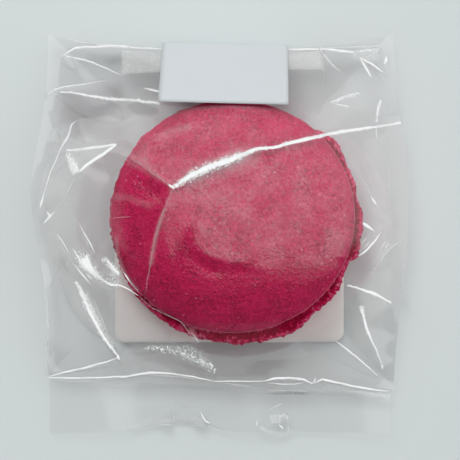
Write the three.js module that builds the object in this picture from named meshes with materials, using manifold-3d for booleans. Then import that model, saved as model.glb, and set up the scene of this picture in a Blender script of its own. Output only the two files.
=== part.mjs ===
// A french macaron sealed in a clear film bag, with a folded paper label over the bag's top edge.
// Millimetres, +Z up. The pack lies on its back sheet: +Y points to its top edge, +X to its right side.
// The origin is on the table under the middle of the pack.
//
// The clear bag is one closed solid out to its film: a pillow that is pushed up by the macaron's
// domed cap, falls in straight, slightly folded skirts to a thin rim, and ends in a flat heat seal.
// The paper label is folded over the top edge, with one leg on each side of the bag.

import * as THREE from "three";
import { mergeVertices } from "three/addons/utils/BufferGeometryUtils.js";
import Module from "manifold-3d";

const wasm = await Module();
wasm.setup();

// ---- Driving dimensions ----

// The outline of the bag, seen from above.
const cornerHalfWidth = 35; // half the width at the four corners
const leftBulge = { reach: 3, at: 9, spread: 13 }; // how far the left side stands out, and where
const rightBulge = { reach: 3, at: 6, spread: 22 };
const topEdgeY = 38.1; // where the film is folded over, under the label
const earHeight = 2.9; // how far the top corners stand above that
const sealMiddleY = -30.2; // the inner line of the heat seal
const sealSlope = -0.045; // the seal line runs down to the right
const packEndY = -40.2; // the free end of the heat seal
const endWave = 0.8; // how far that end wanders

// The macaron that fills the pack, as the film meets it.
const capCentre = new THREE.Vector2(2.5, 3.8);
const capTop = 22;
const capShoulder = { radius: 21, height: 17.6 }; // where the film leaves the cap
const capRoundness = 2.2;

// The rim, where the front sheet meets the back sheet.
const filmRim = 0.8;
const cornerLift = 2.8;
const sideLift = 4.2; // more at the middle of each side
const topLift = 2;
const sealLift = 0.8;

// The folds that run from the cap out to the rim.
const foldPitch = 10.5;
const foldDepth = 0.9;
const foldDrift = { reach: 3.2, over: 19 }; // how unevenly they are spaced round the rim

// The taut ridge that crosses the cap and runs out to the right side.
const tautRidge = {
  from: new THREE.Vector2(-8.9, 9.3),
  to: new THREE.Vector2(37.4, 22.8),
  height: 1.2,
  halfWidth: 7,
};

// The part of the back sheet that lies flat, as a share of the way to the rim.
const flatShare = 0.55;

// The heat seal's flat strip.
const sealThickness = 0.6;
const sealOverlap = 1.6; // how far it reaches into the pillow
const sealInset = 0.2; // how far its ends stay inside the pillow's sides
const sealEndLift = 0.7;
const sealCurl = 0.7;
const sealCurlPitch = 27;

// The paper label.
const labelWidth = 25.4;
const labelMiddleX = 1;
const labelTurn = THREE.MathUtils.degToRad(-1.4);
const labelThickness = 0.3;
const labelGap = 0.4; // kept clear of the film
const frontLeg = { reach: 12.4, foldHeight: 5.4, endHeight: 16.4 };
const backLeg = { reach: 10, foldHeight: 3.5, endHeight: 1.05 };
const labelFoldReach = 0.5; // how far the inside of the fold stands past the film
const labelMask = { from: 0.8, to: 8.8 }; // beside the label, where the film leaves its plane
const labelMaskEnd = { from: 0.85, to: 1.25 }; // the same past its end, as shares of its reach

// How finely the sheets are divided.
const sideSteps = 24;
const endSteps = 24;
const domeRings = 10;
const skirtRings = 8;
const backRings = 4;
const sealSteps = { along: 36, across: 4 };

// ---- The outline of the bag ----

const bump = (y, { reach, at, spread }) => reach * Math.exp(-(((y - at) / spread) ** 2));
const leftX = (y) => -cornerHalfWidth - bump(y, leftBulge);
const rightX = (y) => cornerHalfWidth + bump(y, rightBulge);
const topY = (x) => topEdgeY + earHeight * (Math.abs(x) / cornerHalfWidth) ** 4;
const sealY = (x) => sealMiddleY + sealSlope * x;
const endY = (x) => packEndY - endWave * Math.sin((Math.PI * x) / sealCurlPitch);

// The corners, going round anticlockwise from the bottom left.
const corners = [
  [leftX, sealY, -cornerHalfWidth],
  [rightX, sealY, cornerHalfWidth],
  [rightX, topY, cornerHalfWidth],
  [leftX, topY, -cornerHalfWidth],
].map(([sideAt, endAt, x]) => new THREE.Vector2(sideAt(endAt(x)), endAt(sideAt(endAt(x)))));

// The height of the rim's middle at a point of one of the four sides, from -1 to 1 along it.
const rimHeight = (along, lift) => cornerLift + lift * (1 - along ** 2);

// Points that go once round the outline, each with the height of the rim's middle there.
function rimPoints() {
  const [bottomLeft, bottomRight, topRight, topLeft] = corners;
  const sides = [
    { from: bottomLeft, to: bottomRight, steps: endSteps, lift: sealLift, bendY: sealY },
    { from: bottomRight, to: topRight, steps: sideSteps, lift: sideLift, bendX: rightX },
    { from: topRight, to: topLeft, steps: endSteps, lift: topLift, bendY: topY },
    { from: topLeft, to: bottomLeft, steps: sideSteps, lift: sideLift, bendX: leftX },
  ];
  return sides.flatMap(({ from, to, steps, lift, bendX, bendY }) =>
    Array.from({ length: steps }, (_, i) => {
      const point = from.clone().lerp(to, i / steps);
      if (bendX) point.x = bendX(point.y);
      if (bendY) point.y = bendY(point.x);
      return { point, height: rimHeight((2 * i) / steps - 1, lift) };
    }),
  );
}

// ---- The label's own plane ----

// A point in the label's frame: across it, and from its fold towards the macaron.
const labelAcross = new THREE.Vector2(Math.cos(labelTurn), Math.sin(labelTurn));
function inLabelFrame(x, y) {
  const offset = new THREE.Vector2(x - labelMiddleX, y - topEdgeY);
  return {
    across: offset.dot(labelAcross),
    inward: offset.cross(labelAcross),
  };
}

const legHeight = (leg, inward) =>
  THREE.MathUtils.lerp(leg.foldHeight, leg.endHeight, inward / leg.reach);

// 1 under the label, and 0 well beside it and past its end.
function underLabel(across, inward) {
  const { smoothstep } = THREE.MathUtils;
  const beside = Math.abs(across) - labelWidth / 2;
  const past = inward / frontLeg.reach;
  return (
    (1 - smoothstep(beside, labelMask.from, labelMask.to)) *
    (1 - smoothstep(past, labelMaskEnd.from, labelMaskEnd.to))
  );
}

// ---- The two sheets of film ----

const capHeight = (radius) =>
  capTop -
  (capTop - capShoulder.height) * (radius / capShoulder.radius) ** capRoundness;

// A fold's share of its depth, an uneven triangle wave along the rim.
function foldAt(distance) {
  const drifted = distance + foldDrift.reach * (1 + Math.sin(distance / foldDrift.over));
  return Math.abs(((drifted / foldPitch) % 1) - 0.5) * 4 - 1;
}

// How much the taut ridge lifts the film at a point.
function ridgeLift(x, y) {
  const { from, to, height, halfWidth } = tautRidge;
  const run = to.clone().sub(from);
  const offset = new THREE.Vector2(x, y).sub(from);
  const along = offset.dot(run) / run.lengthSq();
  if (along <= 0 || along >= 1) return 0;
  const beside = Math.abs(offset.cross(run)) / run.length();
  return height * Math.sin(Math.PI * along) * (1 - THREE.MathUtils.smoothstep(beside, 0, halfWidth));
}

function frontHeight(x, y, radius, rimRadius, rimTop, distance) {
  const lift = ridgeLift(x, y);
  if (radius <= capShoulder.radius) return Math.min(capHeight(radius) + lift, capTop);
  const share = (radius - capShoulder.radius) / (rimRadius - capShoulder.radius);
  const { across, inward } = inLabelFrame(x, y);
  const stiff = share < 1 ? underLabel(across, inward) : 0;
  const fold = foldDepth * foldAt(distance) * Math.sin(Math.PI * share) ** 2;
  const taut = THREE.MathUtils.lerp(capShoulder.height, rimTop, share) + fold + lift;
  return THREE.MathUtils.lerp(taut, legHeight(frontLeg, inward) - 2 * labelGap, stiff);
}

function backHeight(share, rimBottom) {
  if (share <= flatShare) return 0;
  return rimBottom * ((share - flatShare) / (1 - flatShare));
}

// The rings of one sheet from its middle out to the rim. Each ring holds one point for each rim point.
function sheetRings(rim, lengths, ringCount, place) {
  return Array.from({ length: ringCount }, (_, ring) =>
    rim.map((at, i) => place(at, lengths[i], ring)),
  );
}

function frontSheet(rim, lengths) {
  const rings = domeRings + skirtRings;
  return sheetRings(rim, lengths, rings, ({ point, height }, distance, ring) => {
    const spoke = point.clone().sub(capCentre);
    const rimRadius = spoke.length();
    const onDome = ring < domeRings;
    const step = onDome ? (ring + 1) / domeRings : (ring - domeRings + 1) / skirtRings;
    const radius = onDome
      ? capShoulder.radius * step
      : THREE.MathUtils.lerp(capShoulder.radius, rimRadius, step);
    const { x, y } = capCentre.clone().addScaledVector(spoke, radius / rimRadius);
    const rimTop = height + filmRim / 2;
    return [x, y, frontHeight(x, y, radius, rimRadius, rimTop, distance)];
  });
}

function backSheet(rim, lengths) {
  return sheetRings(rim, lengths, backRings + 1, ({ point, height }, _, ring) => {
    const share = THREE.MathUtils.lerp(flatShare, 1, ring / backRings);
    const { x, y } = capCentre.clone().lerp(point, share);
    return [x, y, backHeight(share, height - filmRim / 2)];
  });
}

// The way round the outline to each rim point.
function rimLengths(rim) {
  let total = 0;
  return rim.map(({ point }, i) => {
    if (i > 0) total += point.distanceTo(rim[i - 1].point);
    return total;
  });
}

// ---- Meshes from rings and grids ----

// A closed solid from nested rings, with a point that closes the first ring and one for the last.
function closedFromRings(rings, firstPole, lastPole) {
  const count = rings[0].length;
  const points = [firstPole, ...rings.flat(), lastPole];
  const at = (ring, i) => 1 + ring * count + (i % count);
  const faces = [];
  for (let i = 0; i < count; i++) {
    faces.push([0, at(0, i), at(0, i + 1)]);
    for (let ring = 0; ring + 1 < rings.length; ring++) {
      const [a, b] = [at(ring, i), at(ring, i + 1)];
      const [c, d] = [at(ring + 1, i + 1), at(ring + 1, i)];
      faces.push([a, d, c], [a, c, b]);
    }
    faces.push([points.length - 1, at(rings.length - 1, i + 1), at(rings.length - 1, i)]);
  }
  return geometryOf(points, faces);
}

function geometryOf(points, faces) {
  const geometry = new THREE.BufferGeometry();
  geometry.setAttribute("position", new THREE.Float32BufferAttribute(points.flat(), 3));
  geometry.setIndex(faces.flat());
  return geometry;
}

// The pillow of film from the cap out to its rim.
function pillow() {
  const rim = rimPoints();
  const lengths = rimLengths(rim);
  const front = frontSheet(rim, lengths);
  const back = backSheet(rim, lengths).reverse();
  const { x, y } = capCentre;
  return closedFromRings([...front, ...back], [x, y, capTop], [x, y, 0]);
}

// The flat heat seal. Its first row reaches into the pillow and its second is at the pillow's rim;
// from there it falls to its free end, which curls a little.
function sealStrip() {
  const { along, across } = sealSteps;
  const start = corners[0].x + sealInset;
  const width = corners[1].x - sealInset - start;
  const strip = new THREE.BoxGeometry(1, 1, sealThickness, along, across, 1);
  const position = strip.getAttribute("position");
  for (let i = 0; i < position.count; i++) {
    const alongSide = position.getX(i) + 0.5;
    const row = (0.5 - position.getY(i)) * across;
    const outward = Math.max(0, (row - 1) / (across - 1));
    const x = start + width * alongSide;
    const inward = sealOverlap * Math.max(0, 1 - row);
    const y = THREE.MathUtils.lerp(sealY(x) + inward, endY(x), outward);
    const fall = THREE.MathUtils.lerp(rimHeight(2 * alongSide - 1, sealLift), sealEndLift, outward);
    const curl = sealCurl * outward * (1 + Math.sin((2 * Math.PI * x) / sealCurlPitch));
    position.setXYZ(i, x, y, position.getZ(i) + fall + curl);
  }
  return strip;
}

// The label's section, from the end of its front leg round the fold to the end of its back leg.
function labelSection() {
  const outer = labelFoldReach + labelThickness;
  const shape = new THREE.Shape();
  shape.moveTo(frontLeg.reach, frontLeg.endHeight);
  shape.lineTo(0, frontLeg.foldHeight);
  shape.lineTo(-labelFoldReach, frontLeg.foldHeight - labelFoldReach);
  shape.lineTo(-labelFoldReach, backLeg.foldHeight + labelFoldReach);
  shape.lineTo(0, backLeg.foldHeight);
  shape.lineTo(backLeg.reach, backLeg.endHeight);
  shape.lineTo(backLeg.reach, backLeg.endHeight - labelThickness);
  shape.lineTo(-labelThickness / 2, backLeg.foldHeight - labelThickness);
  shape.lineTo(-outer, backLeg.foldHeight + labelFoldReach - labelThickness);
  shape.lineTo(-outer, frontLeg.foldHeight - labelFoldReach + labelThickness);
  shape.lineTo(-labelThickness / 2, frontLeg.foldHeight + labelThickness * Math.SQRT2);
  shape.lineTo(frontLeg.reach, frontLeg.endHeight + labelThickness * Math.SQRT2);
  shape.closePath();
  return shape;
}

function label() {
  const geometry = new THREE.ExtrudeGeometry(labelSection(), {
    depth: labelWidth,
    bevelEnabled: false,
  });
  // The section's own axes become -Y and Z, and the extrusion runs along X.
  const turn = new THREE.Matrix4().makeBasis(
    new THREE.Vector3(0, -1, 0),
    new THREE.Vector3(0, 0, 1),
    new THREE.Vector3(-1, 0, 0),
  );
  geometry.applyMatrix4(turn);
  geometry.translate(labelWidth / 2, 0, 0);
  return geometry;
}

// ---- Solids ----

function solidOf(geometry) {
  const plain = geometry.clone();
  plain.deleteAttribute("normal");
  plain.deleteAttribute("uv");
  const merged = mergeVertices(plain, 1e-4);
  return new wasm.Manifold(
    new wasm.Mesh({
      numProp: 3,
      vertProperties: merged.getAttribute("position").array,
      triVerts: new Uint32Array(merged.index.array),
    }),
  );
}

function geometryOfSolid(solid) {
  const { vertProperties, triVerts } = solid.getMesh();
  const geometry = new THREE.BufferGeometry();
  geometry.setAttribute("position", new THREE.BufferAttribute(vertProperties, 3));
  geometry.setIndex(new THREE.BufferAttribute(triVerts, 1));
  geometry.computeVertexNormals();
  return geometry;
}

function namedMesh(name, geometry, material) {
  const mesh = new THREE.Mesh(geometry, new THREE.MeshStandardMaterial(material));
  mesh.name = name;
  return mesh;
}

// ---- The pack ----

const bag = namedMesh(
  "bag",
  geometryOfSolid(solidOf(pillow()).add(solidOf(sealStrip()))),
  { color: 0xe4a9b8, roughness: 0.15, metalness: 0, transparent: true, opacity: 0.55 },
);

const paperLabel = namedMesh("label", label(), {
  color: 0xeef2f4,
  roughness: 0.7,
  metalness: 0,
});
paperLabel.position.set(labelMiddleX, topEdgeY, 0);
paperLabel.rotation.z = labelTurn;

const pack = new THREE.Group();
pack.add(bag, paperLabel);

export default pack;
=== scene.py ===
# %% [markdown]
# # A french macaron in a sealed clear bag
#
# Two domed almond shells with a filling between them lie on a small white sachet. A square bag
# of thin clear film is sealed round them, and a blank paper label is folded over its top edge.
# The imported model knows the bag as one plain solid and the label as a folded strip. This lesson
# puts the real things in their place: the shells, the filling, the sachet, the creased film with
# its heat seal, and a thin paper label.
#
# Sizes are written in millimetres, as a baker or a packer would say them. They become metres at
# the moment a mesh is made. +Z is up, +Y points to the bag's labelled edge.

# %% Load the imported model
import math
import random

import bpy
import numpy as np
from mathutils import Matrix, Vector, noise
from mathutils.bvhtree import BVHTree
from mathutils.geometry import delaunay_2d_cdt


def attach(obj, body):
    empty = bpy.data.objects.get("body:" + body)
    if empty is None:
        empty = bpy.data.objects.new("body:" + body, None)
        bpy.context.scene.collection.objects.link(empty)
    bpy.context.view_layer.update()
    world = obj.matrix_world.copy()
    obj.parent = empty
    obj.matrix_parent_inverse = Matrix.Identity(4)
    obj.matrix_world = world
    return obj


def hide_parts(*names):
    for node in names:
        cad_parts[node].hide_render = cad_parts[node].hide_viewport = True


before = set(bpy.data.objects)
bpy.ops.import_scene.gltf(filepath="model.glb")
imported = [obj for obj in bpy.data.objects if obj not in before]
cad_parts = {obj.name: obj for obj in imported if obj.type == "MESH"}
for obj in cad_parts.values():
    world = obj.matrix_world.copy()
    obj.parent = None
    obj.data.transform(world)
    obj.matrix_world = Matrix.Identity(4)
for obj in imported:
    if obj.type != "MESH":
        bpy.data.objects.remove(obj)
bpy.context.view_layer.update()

MM = 0.001
print("nodes in the frame:", sorted(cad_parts))

# %% [markdown]
# ## The camera
#
# The pack lies flat, so it is seen from nearly straight above, from the height at which one
# holds a phone over a table. A near camera matters here: the top of the film is 22 mm closer
# than the table, so it looks 7 per cent larger than it would from far away.

# %% Camera
VIEW_DISTANCE = 330.0
VIEW_ELEVATION = math.radians(89.0)
VIEW_CENTRE = Vector((2.0, 1.25, 0.0))
FRAME_WIDTH_AT_TABLE = 94.3
SENSOR_WIDTH = 36.0

back = Vector((0.0, -math.cos(VIEW_ELEVATION), math.sin(VIEW_ELEVATION)))
right = Vector((1.0, 0.0, 0.0))
up = back.cross(right)
camera = bpy.data.objects.new("camera", bpy.data.cameras.new("camera"))
bpy.context.scene.collection.objects.link(camera)
camera.matrix_world = Matrix.Translation((VIEW_CENTRE + VIEW_DISTANCE * back) * MM) @ Matrix(
    (right, up, back)
).transposed().to_4x4()
camera.data.sensor_width = SENSOR_WIDTH
camera.data.lens = SENSOR_WIDTH * VIEW_DISTANCE / FRAME_WIDTH_AT_TABLE
camera.data.clip_start = 0.01
camera.data.dof.use_dof = False
bpy.context.scene.camera = camera
print("focal length:", round(camera.data.lens, 1))

# %% [markdown]
# ## Small tools for nodes
#
# Shader trees, the sky and Geometry Nodes are all built the same way: put in a node, give its
# sockets numbers or link them. One helper does both, so that each tree reads as a list.

# %% Node helper
def put(tree, kind, inputs=None, **settings):
    """Adds a node. Each input is a plain value or the socket that feeds it."""
    made = tree.nodes.new(kind)
    for key, value in settings.items():
        setattr(made, key, value)
    for key, value in (inputs or {}).items():
        if isinstance(value, bpy.types.NodeSocket):
            tree.links.new(value, made.inputs[key])
        else:
            made.inputs[key].default_value = value
    return made


def math_of(tree, operation, *values):
    """One Math node's output."""
    return put(tree, "ShaderNodeMath", dict(enumerate(values)), operation=operation).outputs[0]


def times(tree, first, second):
    """Two values multiplied."""
    return math_of(tree, "MULTIPLY", first, second)


def map_range(tree, value, low, high, to_low=0.0, to_high=1.0, smooth=False):
    """Carries a value from one range to another, and holds it inside the new one."""
    return put(
        tree,
        "ShaderNodeMapRange",
        {"Value": value, 1: low, 2: high, 3: to_low, 4: to_high},
        interpolation_type="SMOOTHSTEP" if smooth else "LINEAR",
    ).outputs[0]


# %% [markdown]
# ## The studio
#
# Clear film is drawn by what it mirrors, so the room matters more than any lamp. A bright panel
# hangs overhead and comes down to the floor on the right and, a little dimmer, behind the label.
# Film that lies nearly level or leans those ways mirrors it and looks veiled. To the left and
# near it ends high up, and the room below it is nearly dark, which keeps the film clear there.
# Two dim glows are left in that dark: one past the panel's near edge on the right, and a pale
# strip at the foot of the left wall. The light that shapes the shells comes from a soft window
# behind the label and a weak fill opposite.

# %% Sky
# side: (where the panel's edge begins and ends, how bright it stays beyond)
PANEL = {
    "left": (-0.46, -0.40, 0.0),
    "near": (-0.40, -0.35, 0.0),
    "right": (0.95, 0.55, 1.0),
    "behind": (0.95, 0.50, 0.60),
}
PANEL_SLANT = 0.7
# How bright the room is beyond the panel, and between which directions each glow comes up.
WALLS = {
    "dark": 0.02,
    "right": 0.40,
    "right_edge": (-0.1, 0.7),
    "near_edge": (-0.55, 0.0),
    "left": 0.45,
    "left_edge": (-0.84, -0.97),
}
SKY_COLOUR = (0.985, 1.0, 1.0, 1.0)
# The camera itself sees this plain backdrop in place of the room.
BACKDROP = (0.8, 0.82, 0.82, 1.0)

sky = bpy.data.worlds.new("studio")
sky.use_nodes = True
sky_tree = sky.node_tree
sky_tree.nodes.clear()
direction = put(sky_tree, "ShaderNodeTexCoord").outputs["Generated"]
direction = put(sky_tree, "ShaderNodeSeparateXYZ", {0: direction})
sideways, lengthways = direction.outputs["X"], direction.outputs["Y"]
slanted = math_of(sky_tree, "MULTIPLY_ADD", lengthways, PANEL_SLANT, sideways)
panel = 1.0
for across, side in ((slanted, "left"), (sideways, "right"), (lengthways, "near"), (lengthways, "behind")):
    start, end, beyond = PANEL[side]
    panel = times(sky_tree, panel, map_range(sky_tree, across, start, end, beyond, smooth=True))
right_wall = times(
    sky_tree,
    map_range(sky_tree, sideways, *WALLS["right_edge"], 0.0, WALLS["right"], True),
    map_range(sky_tree, lengthways, *WALLS["near_edge"], 0.0, 1.0, True),
)
left_wall = map_range(sky_tree, sideways, *WALLS["left_edge"], 0.0, WALLS["left"], True)
walls = math_of(sky_tree, "ADD", math_of(sky_tree, "ADD", right_wall, left_wall), WALLS["dark"])
beyond_panel = math_of(sky_tree, "SUBTRACT", 1.0, panel)
strength = math_of(sky_tree, "MULTIPLY_ADD", beyond_panel, walls, panel)
lit_sky = put(sky_tree, "ShaderNodeBackground", {"Color": SKY_COLOUR, "Strength": strength})
backdrop = put(sky_tree, "ShaderNodeBackground", {"Color": BACKDROP, "Strength": 1.0})
seen = put(sky_tree, "ShaderNodeLightPath").outputs["Is Camera Ray"]
whole_sky = put(sky_tree, "ShaderNodeMixShader", {0: seen, 1: lit_sky.outputs[0], 2: backdrop.outputs[0]})
put(sky_tree, "ShaderNodeOutputWorld", {"Surface": whole_sky.outputs[0]})
bpy.context.scene.world = sky
bpy.context.scene.view_settings.view_transform = "Standard"
print("the panel reaches the floor:", [side for side, edge in PANEL.items() if edge[2]])

# %% Lamps
# The film mirrors the room only, so the lamps light the pack and aren't seen in any mirror.
LAMP_DISTANCE = 900.0
# name: (direction from the pack, edge, brightness of its face)
LAMPS = {
    "window": ((-0.20, 0.62, 0.76), 330.0, 7.4),
    "fill": ((-0.30, -0.60, 0.70), 400.0, 1.35),
}


def add_lamp(name, towards, size, brightness):
    """A square lamp that faces the pack. Its power follows from the brightness of its face."""
    lamp = bpy.data.objects.new(name, bpy.data.lights.new(name, "AREA"))
    bpy.context.scene.collection.objects.link(lamp)
    lamp.data.size = size * MM
    lamp.data.energy = brightness * math.pi * (size * MM) ** 2
    lamp.location = Vector(towards).normalized() * LAMP_DISTANCE * MM
    lamp.rotation_euler = Vector(towards).to_track_quat("Z", "Y").to_euler()
    lamp.visible_camera = False
    lamp.visible_glossy = False


for name, lamp in LAMPS.items():
    add_lamp(name, *lamp)
print("lamps:", ", ".join(LAMPS))

# %% [markdown]
# ## Table
#
# A plain pale table, a hair below the pack so that the two don't touch. It is large, so that
# its edge stays out of every view.

# %% Table
TABLE_SIZE = 6000.0
TABLE_DROP = 0.05
TABLE_COLOUR = (0.72, 0.77, 0.77, 1.0)


def new_material(name):
    """An empty material and its tree."""
    material = bpy.data.materials.new(name)
    material.use_nodes = True
    material.node_tree.nodes.clear()
    return material, material.node_tree


def finish_material(tree, shader):
    put(tree, "ShaderNodeOutputMaterial", {"Surface": shader.outputs[0]})


def mesh_object(name, points, faces, material):
    """A smooth mesh object at the origin, from points in millimetres."""
    mesh = bpy.data.meshes.new(name)
    mesh.from_pydata((np.asarray(points, float) * MM).tolist(), [], faces)
    mesh.materials.append(material)
    mesh.shade_smooth()
    mesh.update()
    made = bpy.data.objects.new(name, mesh)
    bpy.context.scene.collection.objects.link(made)
    return made


table_material, tree = new_material("table")
table_look = {"Base Color": TABLE_COLOUR, "Roughness": 0.55}
finish_material(tree, put(tree, "ShaderNodeBsdfPrincipled", table_look))
half_table = TABLE_SIZE / 2
corners = [(x * half_table, y * half_table, -TABLE_DROP) for x, y in ((-1, -1), (1, -1), (1, 1), (-1, 1))]
table = mesh_object("table", corners, [(0, 1, 2, 3)], table_material)
print("table:", TABLE_SIZE * MM, "m wide")

# %% [markdown]
# ## Grain that several finishes share
#
# Baked meringue has a very fine grain with small pores. The smooth cap and the torn foot below
# it share it, and so does the film where it lies on the crumb, so it is a node group: it gives a
# height for a Bump node, a soft cloud for colour, and masks of the pores, the fine wrinkles and
# the specks of sugar. Paper fibres are a second group, for the label and the sachet. Film has a
# third, a faint ripple.

# %% Shader groups
def group_with(name, numbers, outputs):
    """A shader group with one vector input, named numbers, and named outputs."""
    group = bpy.data.node_groups.new(name, "ShaderNodeTree")
    group.interface.new_socket("Vector", in_out="INPUT", socket_type="NodeSocketVector")
    for label, value in numbers.items():
        socket = group.interface.new_socket(label, in_out="INPUT", socket_type="NodeSocketFloat")
        socket.default_value = value
    for label in outputs:
        group.interface.new_socket(label, in_out="OUTPUT", socket_type="NodeSocketFloat")
    return group, put(group, "NodeGroupInput").outputs, put(group, "NodeGroupOutput").inputs


def noise_of(tree, vector, scale, detail=2.0, roughness=0.5):
    """A noise texture's value, with a scale in features to the metre."""
    return put(
        tree,
        "ShaderNodeTexNoise",
        {"Vector": vector, "Scale": scale, "Detail": detail, "Roughness": roughness},
    ).outputs["Fac"]


# Features to the metre.
MERINGUE_SCALES = {
    "Grain": 3400.0,
    "Mottle": 1500.0,
    "Drift": 330.0,
    "Pores": 620.0,
    "Wrinkles": 900.0,
    "Sugar": 430.0,
}
MERINGUE_RESULTS = ("Height", "Cloud", "Pore", "Wrinkle", "Speck")
PORE_PATCHES = 240.0
WRINKLE_PATCHES = 270.0

meringue_grain, given, result = group_with("meringue grain", MERINGUE_SCALES, MERINGUE_RESULTS)
tree = meringue_grain
grain = noise_of(tree, given["Vector"], given["Grain"], 2.0, 0.65)
mottle = noise_of(tree, given["Vector"], given["Mottle"], 2.0, 0.6)
drift = noise_of(tree, given["Vector"], given["Drift"], 3.0, 0.6)
cloud = times(tree, grain, 0.35)
cloud = math_of(tree, "MULTIPLY_ADD", mottle, 0.35, cloud)
cloud = math_of(tree, "MULTIPLY_ADD", drift, 0.16, math_of(tree, "ADD", cloud, 0.07))
pores = put(tree, "ShaderNodeTexVoronoi", {"Vector": given["Vector"], "Scale": given["Pores"]})
pore = map_range(tree, pores.outputs["Distance"], 0.06, 0.24, 1.0, 0.0, smooth=True)
patchy = map_range(tree, noise_of(tree, given["Vector"], PORE_PATCHES), 0.46, 0.62)
pore = times(tree, pore, patchy)
folds = noise_of(tree, given["Vector"], given["Wrinkles"], 1.5)
folds = math_of(tree, "ABSOLUTE", math_of(tree, "SUBTRACT", folds, 0.5))
wrinkle = map_range(tree, folds, 0.0, 0.07, 1.0, 0.0, smooth=True)
in_patches = noise_of(tree, given["Vector"], WRINKLE_PATCHES)
in_patches = map_range(tree, in_patches, 0.44, 0.62)
wrinkle = times(tree, wrinkle, in_patches)
raised = math_of(tree, "MULTIPLY_ADD", drift, 1.6, grain)
raised = math_of(tree, "MULTIPLY_ADD", mottle, 1.2, raised)
sunk = math_of(tree, "MULTIPLY_ADD", pore, -0.35, raised)
creased = math_of(tree, "MULTIPLY_ADD", wrinkle, -0.6, sunk)
sugar = put(tree, "ShaderNodeTexVoronoi", {"Vector": given["Vector"], "Scale": given["Sugar"]})
speck = map_range(tree, sugar.outputs["Distance"], 0.07, 0.13, 1.0, 0.0)
for label, value in zip(MERINGUE_RESULTS, (creased, cloud, pore, wrinkle, speck)):
    tree.links.new(value, result[label])

paper_fibre, given, result = group_with("paper fibre", {"Fibre": 1500.0}, ("Height", "Cloud"))
stretched = put(paper_fibre, "ShaderNodeMapping", {"Vector": given["Vector"], "Scale": (1.0, 2.6, 1.0)})
fibres = noise_of(paper_fibre, stretched.outputs[0], given["Fibre"], 4.0, 0.7)
paper_fibre.links.new(fibres, result["Height"])
paper_fibre.links.new(noise_of(paper_fibre, given["Vector"], 90.0, 2.0), result["Cloud"])

film_ripple, given, result = group_with("film ripple", {"Ripple": 260.0, "Dust": 2600.0}, ("Height",))
broad = noise_of(film_ripple, given["Vector"], given["Ripple"], 2.0)
fine = noise_of(film_ripple, given["Vector"], given["Dust"], 1.0)
film_ripple.links.new(math_of(film_ripple, "MULTIPLY_ADD", fine, 0.06, broad), result["Height"])
print("shader groups:", [group.name for group in bpy.data.node_groups])

# %% [markdown]
# ## Meringue
#
# A macaron shell is dry, fine and matt, so it is a rough Principled surface with a little sheen,
# as flour dust gives. Its colour is a deep raspberry that clouds a little paler, with pores and
# wrinkles darkened as painted shade, and a few pale specks of sugar. Three masks come with the
# mesh: where the surface is the torn foot, where it is the crisp edge of the cap, which carries a
# thin painted highlight, and how proud each crumb of the foot stands. Crumb that stands proud is
# painted lit and pale, and the pits between and the frill further in are painted in shade.

# %% Meringue material
def object_coordinates(tree):
    """Where each point is on its own piece, so that a pattern rides with the piece."""
    return put(tree, "ShaderNodeTexCoord").outputs["Object"]


def grouped(tree, group, vector, **numbers):
    """A node group placed in a material with its own numbers."""
    placed = put(tree, "ShaderNodeGroup", node_tree=group)
    tree.links.new(vector, placed.inputs["Vector"])
    for label, value in numbers.items():
        placed.inputs[label].default_value = value
    return placed.outputs


def mix_colour(tree, factor, first, second):
    """Two colours mixed by a factor that goes from 0 to 1."""
    mixed = put(tree, "ShaderNodeMix", data_type="RGBA")
    for place, value in ((0, factor), (6, first), (7, second)):
        socket = mixed.inputs[place]
        if isinstance(value, bpy.types.NodeSocket):
            tree.links.new(value, socket)
        else:
            socket.default_value = value
    return mixed.outputs[2]


def mask_attribute(tree, name):
    """A mask that the mesh carries, as a number."""
    attribute = put(tree, "ShaderNodeAttribute", attribute_name=name, attribute_type="GEOMETRY")
    return attribute.outputs["Fac"]


CAP_RED = (0.56, 0.005, 0.068, 1.0)
CAP_PALE = (0.84, 0.032, 0.168, 1.0)
FOOT_RED = (0.88, 0.012, 0.13, 1.0)
FOOT_LIT_PALE = (0.92, 0.26, 0.46, 1.0)
PIT_SHADE_RED = (0.50, 0.004, 0.052, 1.0)
PORE_SHADE_RED = (0.25, 0.004, 0.03, 1.0)
SUGAR_PINK = (0.92, 0.22, 0.38, 1.0)
RIM_HIGHLIGHT_PINK = (0.72, 0.20, 0.28, 1.0)

meringue, tree = new_material("meringue")
grain = grouped(tree, meringue_grain, object_coordinates(tree))
foot = mask_attribute(tree, "foot")
edge = mask_attribute(tree, "edge")
proud = mask_attribute(tree, "proud")
cloud = map_range(tree, grain["Cloud"], 0.38, 0.62)
colour = mix_colour(tree, cloud, CAP_RED, CAP_PALE)
# Painted shade: the pores and the fine wrinkles are darkened in colour.
colour = mix_colour(tree, times(tree, grain["Pore"], 0.55), colour, PORE_SHADE_RED)
colour = mix_colour(tree, times(tree, grain["Wrinkle"], 0.35), colour, PORE_SHADE_RED)
colour = mix_colour(tree, times(tree, grain["Speck"], 0.6), colour, SUGAR_PINK)
# Painted light on the foot: crumbs that stand out are pale and lit, and the pits and the frill further in are
# dark.
lit_crumbs = map_range(tree, grain["Cloud"], 0.44, 0.58)
lit_crumbs = times(tree, lit_crumbs, map_range(tree, proud, 0.4, 0.9))
crumb = mix_colour(tree, map_range(tree, proud, 0.0, 0.55), PIT_SHADE_RED, FOOT_RED)
crumb = mix_colour(tree, lit_crumbs, crumb, FOOT_LIT_PALE)
colour = mix_colour(tree, foot, colour, crumb)
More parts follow.
